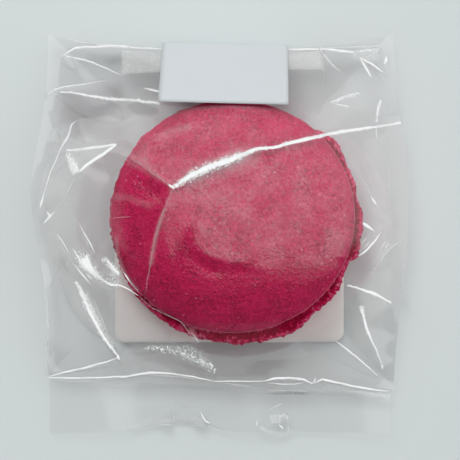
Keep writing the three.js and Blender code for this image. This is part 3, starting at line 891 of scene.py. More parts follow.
# %% Creases
# name: (lifts, half widths of the glint, its cover, points). Lifts and widths run from end to end.
# A line without lifts is a fine glint that doesn't shape the film.
CREASES = {
    "crest": ((0.5, 0.5, 0.6, 0.8),
        (0.14, 0.36, 0.44, 0.40, 0.30, 0.20, 0.20, 0.24, 0.24, 0.20, 0.14, 0.08), 1.0,
        ((-8.9, 9.0), (-5.7, 11.1), (-2.0, 13.0), (1.7, 14.2), (4.8, 15.5), (7.2, 16.5), (11.0, 16.9),
        (13.4, 17.7), (19.9, 19.3), (23.9, 20.3), (31.8, 21.8), (36.3, 22.7))),
    "hook": ((0.5,), (0.12, 0.2, 0.16), 1.0, ((-9.9, 9.7), (-9.4, 9.2), (-8.9, 9.0))),
    "left fall": ((0.5,), (0.1, 0.16, 0.24, 0.24, 0.2, 0.14, 0.1), 0.11,
        ((-8.9, 9.0), (-10.3, 5.8), (-11.6, 2.3), (-12.4, -0.7), (-13.1, -4.0), (-13.7, -7.6),
        (-14.5, -11.4))),
    "left crest": ((0.5,), (0.1, 0.16, 0.2, 0.1), 0.10,
        ((-8.9, 9.0), (-12.1, 11.3), (-15.3, 13.8), (-17.5, 15.0))),
    "kite top": ((2.6, 0.8), (0.18, 0.22, 0.24, 0.24, 0.26), 0.95,
        ((-30.6, 16.8), (-28.8, 16.9), (-25.7, 17.1), (-22.6, 17.5), (-20.2, 17.8))),
    "kite side": ((0.8, 2.2), (0.24, 0.26, 0.24, 0.26, 0.2), 1.0,
        ((-20.2, 17.8), (-22.6, 16.1), (-24.4, 15.0), (-26.4, 13.7), (-27.8, 12.3))),
    "kite end": ((2.6, 2.2), (0.1, 0.2, 0.2, 0.1), 0.5,
        ((-30.6, 16.8), (-30.0, 14.9), (-29.1, 12.7), (-28.5, 11.7))),
    "kite tail": ((2.2, 1.0), (0.12, 0.1, 0.08), 0.4,
        ((-28.5, 11.7), (-29.3, 10.2), (-30.5, 8.0), (-31.4, 6.2))),
    "left edge": ((0.9,), (0.06, 0.2, 0.22, 0.12, 0.08, 0.09, 0.13, 0.1), 0.9,
        ((-28.3, 23.1), (-29.6, 22.1), (-30.3, 19.6), (-31.5, 17.8), (-32.9, 14.7), (-34.1, 11.9),
        (-35.6, 7.1), (-36.0, 5.1))),
    "left edge bead": ((), (0.1, 0.24, 0.1), 0.9, ((-35.3, 7.6), (-35.7, 6.6), (-36.0, 5.6))),
    "outer streak": ((), (0.05, 0.1, 0.05), 0.5, ((-32.7, 21.7), (-33.7, 20.4), (-34.1, 19.1))),
    "outer streak low": ((), (0.06, 0.08), 0.4, ((-32.4, 20.3), (-32.8, 18.5))),
    "left net low": ((0.4, 0.8), (0.08, 0.08), 0.3,
        ((-36.0, 3.4), (-33.9, 4.8), (-31.8, 6.4), (-28.6, 3.4), (-26.6, 0.6))),
    "star": ((), (0.08, 0.2, 0.08), 0.95, ((-34.6, 4.9), (-34.2, 4.2), (-33.8, 3.7))),
    "star branch": ((0.5,), (0.1, 0.2, 0.1), 0.9, ((-32.8, 4.9), (-34.0, 3.8), (-35.4, 2.4))),
    "left fan high": ((0.6,), (0.06, 0.13, 0.08), 0.9, ((-32.6, 0.5), (-31.2, -1.5), (-29.9, -3.8))),
    "left fan high two": ((), (0.05, 0.09, 0.05), 0.6, ((-32.4, -0.7), (-31.2, -2.6), (-30.1, -4.4))),
    "left fan middle": ((0.5,), (0.06, 0.14, 0.2), 0.9, ((-29.3, -2.5), (-28.3, -3.9), (-27.5, -5.3))),
    "left fan low": ((0.5,), (0.05, 0.12, 0.14, 0.06), 0.85,
        ((-27.8, 2.4), (-26.8, 0.4), (-25.6, -1.5), (-24.5, -3.7))),
    "left fan low two": ((), (0.04, 0.08, 0.04), 0.6, ((-27.0, -0.2), (-26.3, -1.3), (-25.7, -2.6))),
    "spark": ((1.2, 0.9), (0.14, 0.4, 0.4, 0.2), 1.0,
        ((-27.6, -5.2), (-26.4, -5.9), (-25.4, -7.0), (-24.0, -8.2))),
    "spark core": ((), (0.2, 0.5, 0.45, 0.3, 0.15), 1.0,
        ((-27.3, -4.6), (-26.6, -5.2), (-25.8, -6.2), (-24.9, -7.2), (-23.8, -8.3))),
    "spark streak": ((), (0.06, 0.14, 0.14, 0.06), 0.9,
        ((-28.6, -6.6), (-27.4, -7.6), (-26.3, -8.8), (-25.4, -9.8))),
    "spark streak two": ((), (0.06, 0.1, 0.06), 0.8, ((-29.6, -5.2), (-28.3, -6.4), (-27.0, -8.0))),
    "spark high": ((), (0.1, 0.3, 0.2), 1.0, ((-26.4, -3.8), (-26.2, -5.0), (-25.6, -6.4))),
    "spark short": ((), (0.08, 0.16, 0.08), 0.9, ((-26.5, -7.5), (-25.7, -8.2), (-25.0, -8.8))),
    "beside": ((0.9,), (0.1, 0.3, 0.2), 0.9, ((-22.0, -4.9), (-20.9, -6.4), (-19.6, -7.7))),
    "spark tail": ((0.7,), (0.22, 0.2, 0.2, 0.12, 0.1, 0.1), 1.0,
        ((-24.2, -7.8), (-22.8, -8.9), (-21.3, -9.8), (-19.6, -9.7), (-17.9, -10.5), (-15.8, -11.9))),
    "spark tail up": ((), (0.05, 0.08, 0.05), 0.5, ((-23.6, -7.2), (-21.5, -7.8), (-19.8, -8.2))),
    "cap low left": ((), (0.05, 0.14, 0.05), 0.9, ((-18.7, -7.2), (-18.1, -8.2), (-17.5, -9.2))),
    "cap low left two": ((), (0.05, 0.07, 0.05), 0.55, ((-19.7, -5.6), (-17.9, -8.6), (-15.6, -11.3))),
    "cap line": ((), (0.04, 0.06, 0.04), 0.22, ((-21.2, 3.3), (-19.0, 3.4), (-17.0, 3.6))),
    "shoulder low": ((0.3,), (0.06, 0.06), 0.3,
        ((-15.8, -11.9), (-13.2, -14.2), (-10.7, -15.4), (-7.7, -16.8), (-5.0, -20.4))),
    "corner fall": ((0.8, 1.2, 0.7), (0.06, 0.1, 0.18, 0.22, 0.24, 0.22, 0.14, 0.06), 1.0,
        ((-28.6, -9.3), (-27.5, -11.0), (-26.6, -13.4), (-25.7, -15.4), (-24.5, -17.6), (-23.3, -19.8),
        (-21.9, -22.0), (-20.3, -24.3))),
    "corner fall right": ((), (0.05, 0.1, 0.12, 0.1, 0.05), 0.4,
        ((-25.4, -12.4), (-24.4, -13.8), (-23.6, -15.8), (-22.7, -18.2), (-21.6, -21.0))),
    "corner bead": ((), (0.12, 0.26, 0.12), 1.0, ((-20.7, -23.9), (-20.4, -24.5), (-20.1, -25.0))),
    "corner line": ((0.7,), (0.1, 0.16, 0.18, 0.14, 0.1), 0.95,
        ((-20.4, -24.5), (-23.8, -25.6), (-27.4, -26.7), (-31.4, -27.6), (-35.1, -28.6))),
    "corner line two": ((), (0.06, 0.08, 0.06), 0.45, ((-31.9, -29.5), (-28.0, -29.4), (-24.3, -29.3))),
    "foot line left": ((0.7,), (0.1, 0.18, 0.14, 0.16, 0.2, 0.14, 0.16, 0.12), 0.95,
        ((-35.1, -28.7), (-29.4, -28.8), (-24.3, -28.7), (-19.2, -28.5), (-14.1, -27.6), (-10.1, -27.7),
        (-5.1, -28.5), (-1.2, -29.4))),
    "foot line second": ((), (0.05, 0.1, 0.12, 0.05), 0.6,
        ((-15.5, -28.1), (-11.0, -28.3), (-7.0, -28.6), (-4.0, -29.3))),
    "foot line middle": ((0.6,), (0.14, 0.1, 0.14), 0.9, ((-1.2, -29.4), (3.8, -29.4), (8.9, -29.4))),
    "foot line branch": ((), (0.05, 0.1, 0.05), 0.5, ((0.5, -29.7), (3.0, -30.2), (6.4, -30.5))),
    "foot line lens": ((0.8,), (0.12, 0.2, 0.14, 0.2, 0.12), 1.0,
        ((8.9, -29.4), (10.7, -28.8), (14.1, -28.6), (16.9, -29.0), (18.7, -29.9))),
    "foot lens low": ((), (0.05, 0.12, 0.1, 0.05), 0.8,
        ((9.4, -29.7), (12.3, -30.0), (15.0, -30.0), (17.2, -29.6))),
    "foot tick": ((), (0.1, 0.14, 0.06), 1.0, ((18.7, -29.9), (19.1, -29.1), (19.3, -28.4))),
    "foot line right": ((0.7,), (0.12, 0.24, 0.18, 0.16, 0.18, 0.1), 1.0,
        ((18.7, -29.9), (20.5, -28.9), (23.0, -29.5), (26.2, -30.3), (30.5, -31.0), (34.2, -31.5))),
    "right corner line": ((0.6,), (0.08, 0.16, 0.12, 0.1), 0.9,
        ((22.8, -20.9), (25.6, -22.9), (28.4, -25.2), (31.9, -28.3))),
    "right corner fall": ((0.9,), (0.2, 0.24, 0.24, 0.18, 0.14, 0.12, 0.08), 0.95,
        ((27.9, -14.2), (28.5, -15.9), (29.0, -17.8), (30.0, -20.3), (31.3, -22.8), (32.2, -25.0),
        (32.7, -26.3))),
    "right corner bead": ((), (0.1, 0.22, 0.1), 1.0, ((32.6, -25.8), (32.75, -26.4), (32.9, -27.0))),
    "right fall": ((0.8,), (0.06, 0.1, 0.2, 0.26, 0.2, 0.1), 1.0,
        ((25.1, -9.9), (27.2, -10.4), (28.9, -11.0), (30.8, -11.6), (32.6, -12.5), (34.3, -13.5))),
    "right long": ((0.7,), (0.1, 0.14, 0.14), 0.2,
        ((27.0, 12.0), (28.6, 10.1), (31.0, 6.0), (32.7, 4.2), (34.2, 3.3))),
    "right bead": ((), (0.08, 0.2, 0.08), 0.95, ((29.8, 7.7), (30.4, 6.8), (31.0, 5.8))),
    "right wedge": ((0.8,), (0.34, 0.24, 0.06), 1.0, ((28.0, 2.4), (29.1, 1.7), (30.6, 0.8))),
    "right arc": ((0.7,), (0.1, 0.18, 0.16, 0.06), 0.95,
        ((27.1, -4.1), (28.8, -3.0), (30.6, -1.2), (32.0, 0.8))),
    "right hatch one": ((), (0.04, 0.09, 0.04), 0.7, ((27.8, -1.6), (28.5, -0.9), (29.1, -0.3))),
    "right hatch two": ((), (0.04, 0.09, 0.04), 0.7, ((28.2, -2.7), (29.0, -1.9), (29.7, -1.1))),
    "right low": ((0.5,), (0.08, 0.12, 0.12, 0.06), 0.55,
        ((31.9, -5.4), (32.6, -3.9), (34.1, -2.4), (36.4, -1.0))),
    "right low two": ((), (0.06, 0.12, 0.06), 0.7, ((31.9, -2.6), (32.4, -1.9), (32.9, -1.2))),
    "right margin": ((), (0.04, 0.1, 0.04), 0.5, ((36.6, -8.6), (36.7, -11.0), (36.5, -13.4))),
    "ear left out": ((), (0.05, 0.1, 0.14), 0.75, ((-31.7, 40.2), (-28.5, 39.5), (-25.2, 39.0))),
    "ear left": ((0.5,), (0.2, 0.28, 0.28, 0.2, 0.16), 0.95,
        ((-25.2, 38.9), (-22.5, 38.7), (-19.9, 38.5), (-16.2, 38.1), (-11.7, 37.8))),
    "ear left loop": ((0.5,), (0.1, 0.14, 0.18, 0.2, 0.18, 0.14), 0.95,
        ((-19.9, 38.5), (-24.4, 38.4), (-27.6, 38.4), (-29.6, 38.1), (-30.8, 37.3), (-31.7, 36.6))),
    "ear left low": ((0.6,), (0.18, 0.16, 0.18, 0.14, 0.1, 0.05), 0.9,
        ((-31.7, 36.6), (-30.0, 36.1), (-27.0, 35.4), (-24.4, 34.4), (-22.0, 33.2), (-19.6, 32.0))),
    "left corner": ((0.4,), (0.14, 0.22, 0.14, 0.08, 0.06), 0.8,
        ((-34.8, 28.4), (-33.8, 29.4), (-31.6, 30.0), (-27.0, 30.3), (-22.1, 31.0))),
    "top left low": ((0.7,), (0.05, 0.1, 0.14, 0.18, 0.2, 0.14), 0.85,
        ((-32.2, 28.9), (-29.7, 28.8), (-26.4, 27.9), (-22.2, 27.1), (-17.7, 26.6), (-11.9, 25.8))),
    "top left stub": ((0.4,), (0.06, 0.2, 0.14), 0.85, ((-15.2, 29.1), (-13.3, 28.6), (-11.6, 28.2))),
    "ear right": ((0.5,), (0.16, 0.2, 0.16), 0.95, ((13.7, 37.7), (17.0, 37.8), (20.2, 37.9))),
    "ear tick": ((), (0.08, 0.16, 0.08), 0.9, ((20.3, 38.4), (20.4, 37.9), (20.4, 37.3))),
    "ear right in": ((0.6,), (0.14, 0.2, 0.22, 0.16), 1.0,
        ((20.2, 37.9), (22.3, 37.8), (24.6, 37.4), (27.4, 37.2))),
    "ear right out": ((), (0.08, 0.1, 0.1, 0.14), 0.7,
        ((20.6, 38.2), (26.3, 38.3), (30.3, 38.5), (33.2, 38.8))),
    "ear right fall": ((0.6,), (0.12, 0.2, 0.16, 0.08), 0.6,
        ((20.2, 37.9), (21.5, 35.9), (22.9, 34.0), (24.4, 32.6))),
    "ear right drop": ((0.5,), (0.1, 0.12, 0.06), 0.3, ((20.4, 37.6), (20.8, 33.1), (20.6, 29.2))),
    "crinkle out": ((0.7,), (0.14, 0.18, 0.1), 1.0, ((28.2, 36.0), (30.6, 34.6), (33.1, 33.0))),
    "crinkle in": ((0.7,), (0.12, 0.2, 0.2), 0.95, ((28.2, 36.0), (29.2, 34.0), (30.4, 31.8))),
    "crinkle up": ((0.4,), (0.06, 0.16, 0.1), 0.6, ((28.9, 35.7), (30.9, 36.9), (33.0, 38.2))),
    "crinkle top": ((), (0.12, 0.16, 0.14), 0.7, ((27.4, 37.2), (29.9, 37.7), (32.3, 38.0))),
    "ear spark": ((0.5,), (0.14, 0.26, 0.1), 1.0, ((33.8, 36.4), (33.6, 35.5), (33.3, 34.7))),
    "top right high": ((0.6,), (0.08, 0.2, 0.22, 0.14, 0.06), 0.7,
        ((21.7, 26.2), (23.1, 26.7), (24.6, 27.4), (26.2, 27.9), (28.3, 28.6))),
    "top right low": ((0.5,), (0.05, 0.1, 0.2), 0.8, ((21.9, 26.1), (23.8, 25.7), (25.8, 25.5))),
    "top right side": ((0.6,), (0.26, 0.2, 0.1), 0.85, ((32.3, 27.3), (31.6, 25.2), (31.3, 22.6))),
    "below crest": ((), (0.08, 0.14, 0.06), 0.7, ((31.3, 21.6), (31.2, 20.4), (31.2, 19.2))),
    "crumple": ((0.5,), (0.05, 0.1, 0.1, 0.1, 0.08), 0.25,
        ((-15.0, -22.4), (-10.9, -22.5), (-7.9, -23.1), (-5.0, -24.2), (-2.0, -26.0), (-1.3, -27.4))),
    "leaf one": ((), (0.05, 0.12, 0.05), 0.8, ((-7.9, -22.9), (-7.2, -23.5), (-6.5, -24.1))),
    "leaf two": ((), (0.05, 0.12, 0.05), 0.8, ((-6.2, -23.7), (-5.6, -24.1), (-4.9, -24.5))),
    "leaf three": ((), (0.05, 0.14, 0.05), 0.8, ((-4.4, -24.8), (-3.6, -25.3), (-2.8, -25.7))),
    "leaf four": ((), (0.06, 0.16, 0.05), 0.9, ((-2.3, -25.1), (-1.8, -25.8), (-1.3, -26.6))),
    "fleck": ((), (0.1, 0.16, 0.1), 0.9, ((-6.6, -11.3), (-6.4, -11.4), (-6.2, -11.5))),
    "leaf": ((0.4,), (0.05, 0.12, 0.05), 0.5, ((-5.6, -18.9), (-4.6, -20.3), (-4.1, -21.4))),
    "left rim": ((), (0.05, 0.08, 0.08), 0.35,
        ((-33.2, -3.0), (-34.2, -12.0), (-34.9, -20.0), (-35.4, -28.0))),
    "right rim": ((), (0.05, 0.08, 0.05), 0.35, ((33.2, 19.0), (33.6, 12.0), (33.8, 5.0))),
    "end edge": ((), (0.05, 0.08, 0.08, 0.08, 0.05), 0.3,
        ((-18.0, -39.1), (-15.0, -38.5), (-9.0, -38.1), (-4.0, -38.4), (0.0, -39.4), (5.0, -40.1))),
    "end patch left": ((), (0.05, 0.07), 0.3, ((-14.3, -34.9), (-14.2, -38.0))),
    "end patch right": ((), (0.06, 0.1), 0.5, ((-9.4, -35.0), (-9.3, -37.7))),
    "end patch top": ((), (0.04, 0.08, 0.04), 0.35, ((-14.3, -35.0), (-9.0, -34.7), (-4.0, -35.3))),
    "end one": ((), (0.06, 0.12, 0.14, 0.06), 0.95,
        ((-3.9, -35.9), (-3.5, -36.9), (-2.8, -37.8), (-2.0, -38.3))),
    "end two": ((), (0.06, 0.14, 0.06), 0.8, ((7.7, -37.3), (7.5, -38.0), (7.3, -38.7))),
    "end three": ((), (0.05, 0.1, 0.05), 0.6, ((9.9, -35.4), (11.3, -34.6), (12.7, -34.0))),
    "end four": ((), (0.08, 0.18, 0.08), 0.95, ((11.9, -38.3), (12.4, -38.9), (12.9, -39.3))),
    "end five": ((), (0.06, 0.12, 0.06), 0.8, ((13.8, -38.7), (13.9, -39.3), (14.0, -39.9))),
    "end six": ((), (0.05, 0.16, 0.05), 0.8, ((-18.1, -36.0), (-18.0, -36.3), (-18.0, -36.6))),
}
# name of a crease: (half widths of the band of small sparks round it, sparks in a millimetre)
SPARKS = {
    "crest": ((0.5, 1.1, 1.3, 1.0, 0.5, 0.3, 0.4, 0.5, 0.4, 0.3, 0.2), 44),
    "kite side": ((0.2, 0.3, 0.4), 5),
    "spark": ((0.5, 1.4, 1.4, 0.6), 40),
    "beside": ((0.3, 0.6, 0.6), 14),
    "corner fall": ((0.3, 0.7, 0.9, 0.9, 0.7, 0.4, 0.2), 34),
    "right fall": ((0.2, 0.4, 0.5, 0.3), 10),
    "right corner fall": ((0.4, 0.5, 0.3, 0.2), 7),
    "top left low": ((0.1, 0.2, 0.5, 0.4), 14),
    "top right high": ((0.3, 0.5, 0.3), 9),
    "top right side": ((0.4, 0.4, 0.3), 8),
    "crumple": ((0.5, 1.0, 1.5, 1.3, 0.7), 12),
    "crinkle top": ((0.7, 0.5), 12),
    "foot line lens": ((0.2, 0.4, 0.4), 8),
}
# Painted highlights: patches where the film turns white and rough, in place of its glints and veils.
# name: (cover, softness of its edge, half width along the line, points). With a half width of 0 the
# points are an outline, which is filled.
PAINTED_HIGHLIGHTS = {
    "crest start": (0.75, 1.0, 0.40, ((-8.2, 9.7), (-5.5, 11.4))),
    "crest": (0.66, 2.0, 0.85, ((-5.5, 11.3), (-2.0, 13.0), (1.4, 14.3), (3.6, 15.1))),
    "crest narrow": (0.65, 1.2, 0.35, ((3.6, 15.1), (7.0, 16.3), (9.0, 16.7))),
    "crest glow": (0.36, 4.0, 1.5, ((-5.0, 11.0), (-2.0, 12.2), (1.4, 13.4), (5.0, 14.9))),
    "crest end": (0.22, 1.6, 0.35, ((11.5, 16.9), (21.4, 20.2), (28.0, 21.3))),
    "left fall": (0.27, 0.6, 0.45, ((-10.6, 4.6), (-11.8, 1.2), (-12.6, -2.0), (-13.2, -5.5))),
    "left crest": (0.12, 1.2, 0.35, ((-9.6, 9.6), (-12.1, 11.3), (-15.3, 13.8), (-18.5, 15.0))),
    "on cap left": (0.18, 1.4, 0.5, ((-20.4, 7.4), (-17.6, 7.2), (-13.5, 5.6))),
    "cap band": (0.30, 0.7, 0.30, ((-20.2, -0.5), (-19.9, -4.0), (-18.6, -7.4), (-16.2, -10.6))),
    "cap high left": (0.24, 1.8, 0.5, ((-12.0, 18.8), (-9.0, 20.2), (-6.0, 20.8))),
    "cap wedge": (0.17, 1.0, 0, ((-9.6, 9.4), (-18.8, 14.2), (-19.4, 17.0), (-13.8, 14.6))),
    "kite end": (0.95, 0.7, 0, ((-30.6, 17.0), (-29.4, 15.4), (-27.9, 13.5), (-27.8, 12.5), (-28.7, 11.7),
        (-29.5, 12.5), (-30.2, 14.8))),
    "kite": (0.22, 1.2, 0, ((-30.6, 16.8), (-20.2, 17.8), (-24.0, 15.4), (-27.8, 12.3))),
    "above kite": (0.42, 1.6, 0, ((-28.8, 18.8), (-27.2, 19.9), (-24.9, 19.4), (-24.9, 18.4),
        (-27.3, 18.3))),
    "spark": (0.95, 0.6, 0, ((-27.7, -5.3), (-26.8, -4.1), (-25.8, -3.5), (-25.6, -4.7), (-25.2, -6.1),
        (-23.8, -7.6), (-23.2, -8.8), (-26.0, -7.3), (-28.1, -5.9))),
    "kite glow": (0.45, 2.0, 0.8, ((-29.8, 15.8), (-28.4, 12.8))),
    "beside glow": (0.66, 1.6, 0.9, ((-22.6, -4.9), (-20.6, -7.2))),
    "spark glow": (0.68, 3.0, 1.3, ((-27.4, -4.6), (-25.6, -6.4), (-23.4, -8.6), (-20.5, -9.6))),
    "beside": (0.85, 0.6, 0, ((-22.1, -4.5), (-21.3, -5.3), (-20.5, -6.3), (-19.7, -7.4), (-19.3, -8.0),
        (-20.5, -7.8), (-21.3, -6.8), (-22.1, -5.5))),
    "beside high": (0.75, 0.6, 0.3, ((-22.9, -4.8), (-22.5, -4.8))),
    "between": (0.30, 1.6, 0.6, ((-24.5, -6.0), (-21.5, -7.8), (-19.6, -9.4))),
    "corner fall": (0.85, 1.3, 0.75, ((-26.6, -12.0), (-24.9, -15.6), (-23.1, -19.0), (-21.6, -21.8))),
    "crumple": (0.66, 1.4, 0, ((-9.2, -22.3), (-6.2, -21.2), (-3.6, -22.6), (-1.9, -24.9), (-1.1, -26.8),
        (-1.3, -28.8), (-2.6, -27.2), (-5.0, -26.1), (-7.5, -24.7))),
    "crumple left": (0.46, 1.4, 0.6, ((-17.5, -22.8), (-13.0, -22.2), (-9.0, -22.6))),
    "crumple high": (0.40, 1.0, 0.5, ((-5.6, -18.6), (-4.4, -21.0))),
    "crumple edge": (0.78, 0.9, 0.35, ((-8.3, -23.4), (-5.6, -24.8), (-2.6, -26.0), (-1.4, -26.6))),
    "cream": (0.52, 1.6, 0.6, ((30.5, -6.9), (31.7, -4.7), (33.4, -1.9))),
    "right hatch": (0.35, 1.6, 0.9, ((28.0, -2.6), (29.6, -0.6), (31.0, 0.8))),
    "corner top": (0.90, 0.6, 0.5, ((28.0, -14.3), (28.3, -15.2))),
    "soft right": (0.20, 1.6, 0.6, ((25.6, 16.3), (27.9, 11.2), (30.0, 7.5), (32.1, 4.6), (33.8, 3.5))),
    "margin right": (0.25, 1.4, 0, ((33.2, 24.0), (36.6, 24.0), (38.4, 6.0), (37.0, -9.0), (34.4, 2.0),
        (33.4, 8.0))),
    "margin left": (0.30, 1.2, 0, ((-34.4, -0.9), (-33.1, -3.9), (-34.1, -12.9), (-34.6, -28.0),
        (-36.8, -28.8), (-38.0, -2.0))),
    "crinkle": (0.42, 1.4, 0, ((26.7, 37.3), (31.9, 37.5), (32.3, 35.5), (29.3, 34.9), (27.1, 35.3))),
    "flap left": (0.46, 0.8, 0, ((-20.0, 37.6), (-11.7, 37.5), (-11.5, 32.6), (-19.8, 32.4))),
    "flap right": (0.46, 0.8, 0, ((13.7, 37.5), (20.6, 37.6), (20.6, 33.3), (13.7, 33.2))),
    "top left line": (0.35, 0.9, 0.25, ((-24.0, 27.6), (-19.0, 26.8), (-12.0, 25.9))),
    "top right": (0.40, 0.9, 0.3, ((22.4, 26.2), (24.4, 27.2), (26.6, 28.0))),
    "foot right": (0.60, 0.8, 0.35, ((20.6, -30.0), (25.3, -31.1), (29.4, -31.8), (34.0, -32.6))),
    "lens": (0.40, 0.6, 0, ((9.4, -29.5), (11.5, -28.8), (16.0, -28.8), (18.0, -29.4), (14.5, -30.2),
        (11.0, -30.0))),
    "end patch": (0.55, 0.5, 0, ((10.1, -36.2), (12.5, -36.2), (12.5, -38.1), (10.1, -38.1))),
    "end fleck": (0.90, 0.4, 0.25, ((12.2, -36.6), (13.2, -36.4), (13.8, -37.0))),
    "end fold": (0.55, 0.8, 0.35, ((8.2, -38.9), (10.2, -40.0), (13.6, -40.3))),
    "end left": (0.30, 1.4, 0.8, ((-18.0, -38.6), (-9.0, -37.4), (-4.0, -37.8))),
    "on sachet": (0.39, 2.0, 0, ((-21.5, -10.5), (-17.0, -12.0), (-10.0, -19.0), (-10.0, -21.6),
        (-21.6, -21.6))),
    "left side": (0.38, 4.0, 0, ((-34.5, 12.0), (-22.5, 12.0), (-22.0, -2.0), (-26.0, -5.0),
        (-33.5, -7.0))),
    "right side": (0.28, 3.0, 0, ((28.5, 19.0), (33.4, 20.0), (34.0, -3.0), (31.0, -3.0))),
    "right side low": (0.30, 3.0, 0, ((27.0, -10.0), (34.0, -6.0), (33.6, -26.0), (27.0, -22.0))),
}
# Painted shade: patches where the film lets through a darker tint in place of shadow, given in the same way.
PAINTED_SHADE = {
    "below the sachet": (0.8, 1.4, 0, ((-8.5, -28.6), (9.5, -28.6), (15.0, -21.5), (-17.0, -21.5))),
    "round it": (0.4, 2.6, 0, ((-13.0, -27.0), (12.5, -27.0), (22.0, -21.5), (-20.0, -21.5))),
    "beside the fold": (0.7, 1.2, 0, ((-20.3, -21.0), (-15.5, -20.9), (-13.5, -23.8), (-17.0, -24.4))),
    "under the crumple": (0.6, 1.0, 0, ((-12.0, -21.5), (-8.6, -21.8), (-8.4, -23.9), (-12.2, -23.7))),
    "behind the ear": (1.0, 3.0, 0, ((-32.5, 29.5), (-20.5, 31.0), (-19.5, 27.6), (-27.0, 22.0),
        (-32.8, 22.4))),
    "fold one": (0.6, 0.8, 0, ((0.0, -21.9), (9.0, -22.0), (4.0, -25.6), (-0.6, -26.4))),
    "fold two": (0.45, 0.8, 0, ((9.5, -21.9), (17.0, -21.9), (12.5, -26.8), (5.0, -26.2))),
    "fold three": (0.4, 0.8, 0, ((-16.0, -24.9), (-12.0, -24.0), (-3.0, -27.6), (-9.0, -27.2))),
    "beside the kite": (0.4, 2.5, 0, ((-33.0, 20.0), (-27.0, 23.0), (-18.0, 23.0), (-21.0, 20.0),
        (-29.0, 19.5))),
}
# Painted shade: patches where the film's mirror is turned down so that it shows darker, given in the same
# way.
DIMMED_MIRROR = {
    "right dip": (0.25, 3.0, 1.5, ((18.3, 8.5), (19.4, 3.0), (18.2, -2.0))),
    "foot": (0.8, 2.4, 3.0, ((27.2, -4.5), (26.4, -7.0), (24.2, -10.2), (18.0, -16.2), (10.0, -19.4),
        (1.0, -20.0), (-7.0, -18.2))),
}
# Points along the rim, so far apart.
RIM_SPACING = 5.0
# The scatter of points between the creases, and how far it keeps clear of them.
SCATTER = {"spacing": 6.0, "jitter": 1.6, "lift": 0.45, "clear": 2.6, "seed": 5}
# On the cap the points stand in rings instead, so that the film lies close on it.
ON_CAP = {"radius": 25.5, "rings": (4.0, 8.0, 12.0, 15.5, 18.5, 21.5, 24.5), "spacing": 4.0, "clear": 2.4}


def spaced(values, count):
    """Values for each of a line's points, from a few that are spread evenly along it."""
    return np.interp(np.linspace(0, 1, count), np.linspace(0, 1, len(values)), values).tolist()


def outline_points(spacing):
    """Points round the pillow's outline, anticlockwise from the bottom left."""
    across = np.arange(0, 1, spacing / (2 * CORNER_HALF_WIDTH))
    xs = CORNER_HALF_WIDTH * (2 * across - 1)
    ys = SEAL_MIDDLE + (TOP_EDGE + EAR_HEIGHT - SEAL_MIDDLE) * across
    bottom = [(x, float(seal_line(x))) for x in xs]
    side = [(float(right_side(y)), y) for y in ys]
    top = [(x, float(top_edge(x))) for x in -xs]
    left = [(float(left_side(y)), y) for y in ys[::-1]]
    return bottom + side + top + left


def crease_facets():
    """The lift of the film over its smooth drape, as a mesh of flat triangles."""
    points, lifts, lines = [], [], []
    for ends, _, _, line in CREASES.values():
        if not ends:
            continue
        start = len(points)
        points += [Vector(point) for point in line]
        lifts += spaced(ends, len(line))
        lines += [(start + i, start + i + 1) for i in range(len(line) - 1)]
    crease_points = np.array([tuple(point) for point in points])
    for point in outline_points(RIM_SPACING):
        points.append(Vector(point))
        lifts.append(0.0)
    draw = random.Random(SCATTER["seed"])
    rows = int(80 / SCATTER["spacing"])
    for row in range(-rows // 2, rows // 2 + 1):
        for column in range(-rows // 2, rows // 2 + 1):
            x = (column + 0.5 * (row % 2)) * SCATTER["spacing"] + draw.uniform(-1, 1) * SCATTER["jitter"]
            y = 4 + row * SCATTER["spacing"] + draw.uniform(-1, 1) * SCATTER["jitter"]
            lift = draw.uniform(-1, 1) * SCATTER["lift"]
            inside = left_side(y) + 2 < x < right_side(y) - 2 and seal_line(x) + 2 < y < top_edge(x) - 2
            near = np.hypot(*(crease_points - (x, y)).T).min()
            on_cap = math.hypot(x - DOME["x"], y - DOME["y"]) < ON_CAP["radius"]
            if inside and near > SCATTER["clear"] and not on_cap:
                points.append(Vector((x, y)))
                lifts.append(lift)
    for radius in ON_CAP["rings"]:
        count = round(2 * math.pi * radius / ON_CAP["spacing"])
        for i in range(count):
            angle = 2 * math.pi * (i + draw.uniform(-0.2, 0.2)) / count
            x, y = DOME["x"] + radius * math.cos(angle), DOME["y"] + radius * math.sin(angle)
            if np.hypot(*(crease_points - (x, y)).T).min() > ON_CAP["clear"]:
                points.append(Vector((x, y)))
                lifts.append(0.0)
    flat, _, faces, origins, _, _ = delaunay_2d_cdt(points, lines, [], 0, 1e-5)
    placed = np.array([tuple(point) for point in points])
    heights = []
    for point, sources in zip(flat, origins):
        nearest = sources or [int(np.argmin(np.hypot(*(placed - tuple(point)).T)))]
        heights.append(sum(lifts[i] for i in nearest) / len(nearest))
    return [Vector((p.x, p.y, h)) for p, h in zip(flat, heights)], faces


facet_points, facet_faces = crease_facets()
facet_tree = BVHTree.FromPolygons(facet_points, facet_faces)
print("creases:", len(CREASES), "facets:", len(facet_faces))


def crease_lift(x, y):
    """How far the crease net lifts the film at a point."""
    hit = facet_tree.ray_cast(Vector((x, y, 50.0)), Vector((0, 0, -1)))[0]
    return hit.z if hit else 0.0


# %% [markdown]
# ## The label's plane
#
# The label is stiffer than the film. Under its front leg the film lies in the label's own
# plane, a hair below the paper, and leaves that plane over a few millimetres beside it.

# %% Label sizes
LABEL = {"width": 25.4, "x": 1.0, "y": TOP_EDGE, "turn": math.radians(-1.4), "gap": 0.4}
FRONT_LEG = {"reach": 12.4, "fold": 5.4, "end": 16.4}
BACK_LEG = {"reach": 10.0, "fold": 3.5, "end": 1.05}
BESIDE = (0.8, 8.8)
PAST_END = (0.85, 1.25)


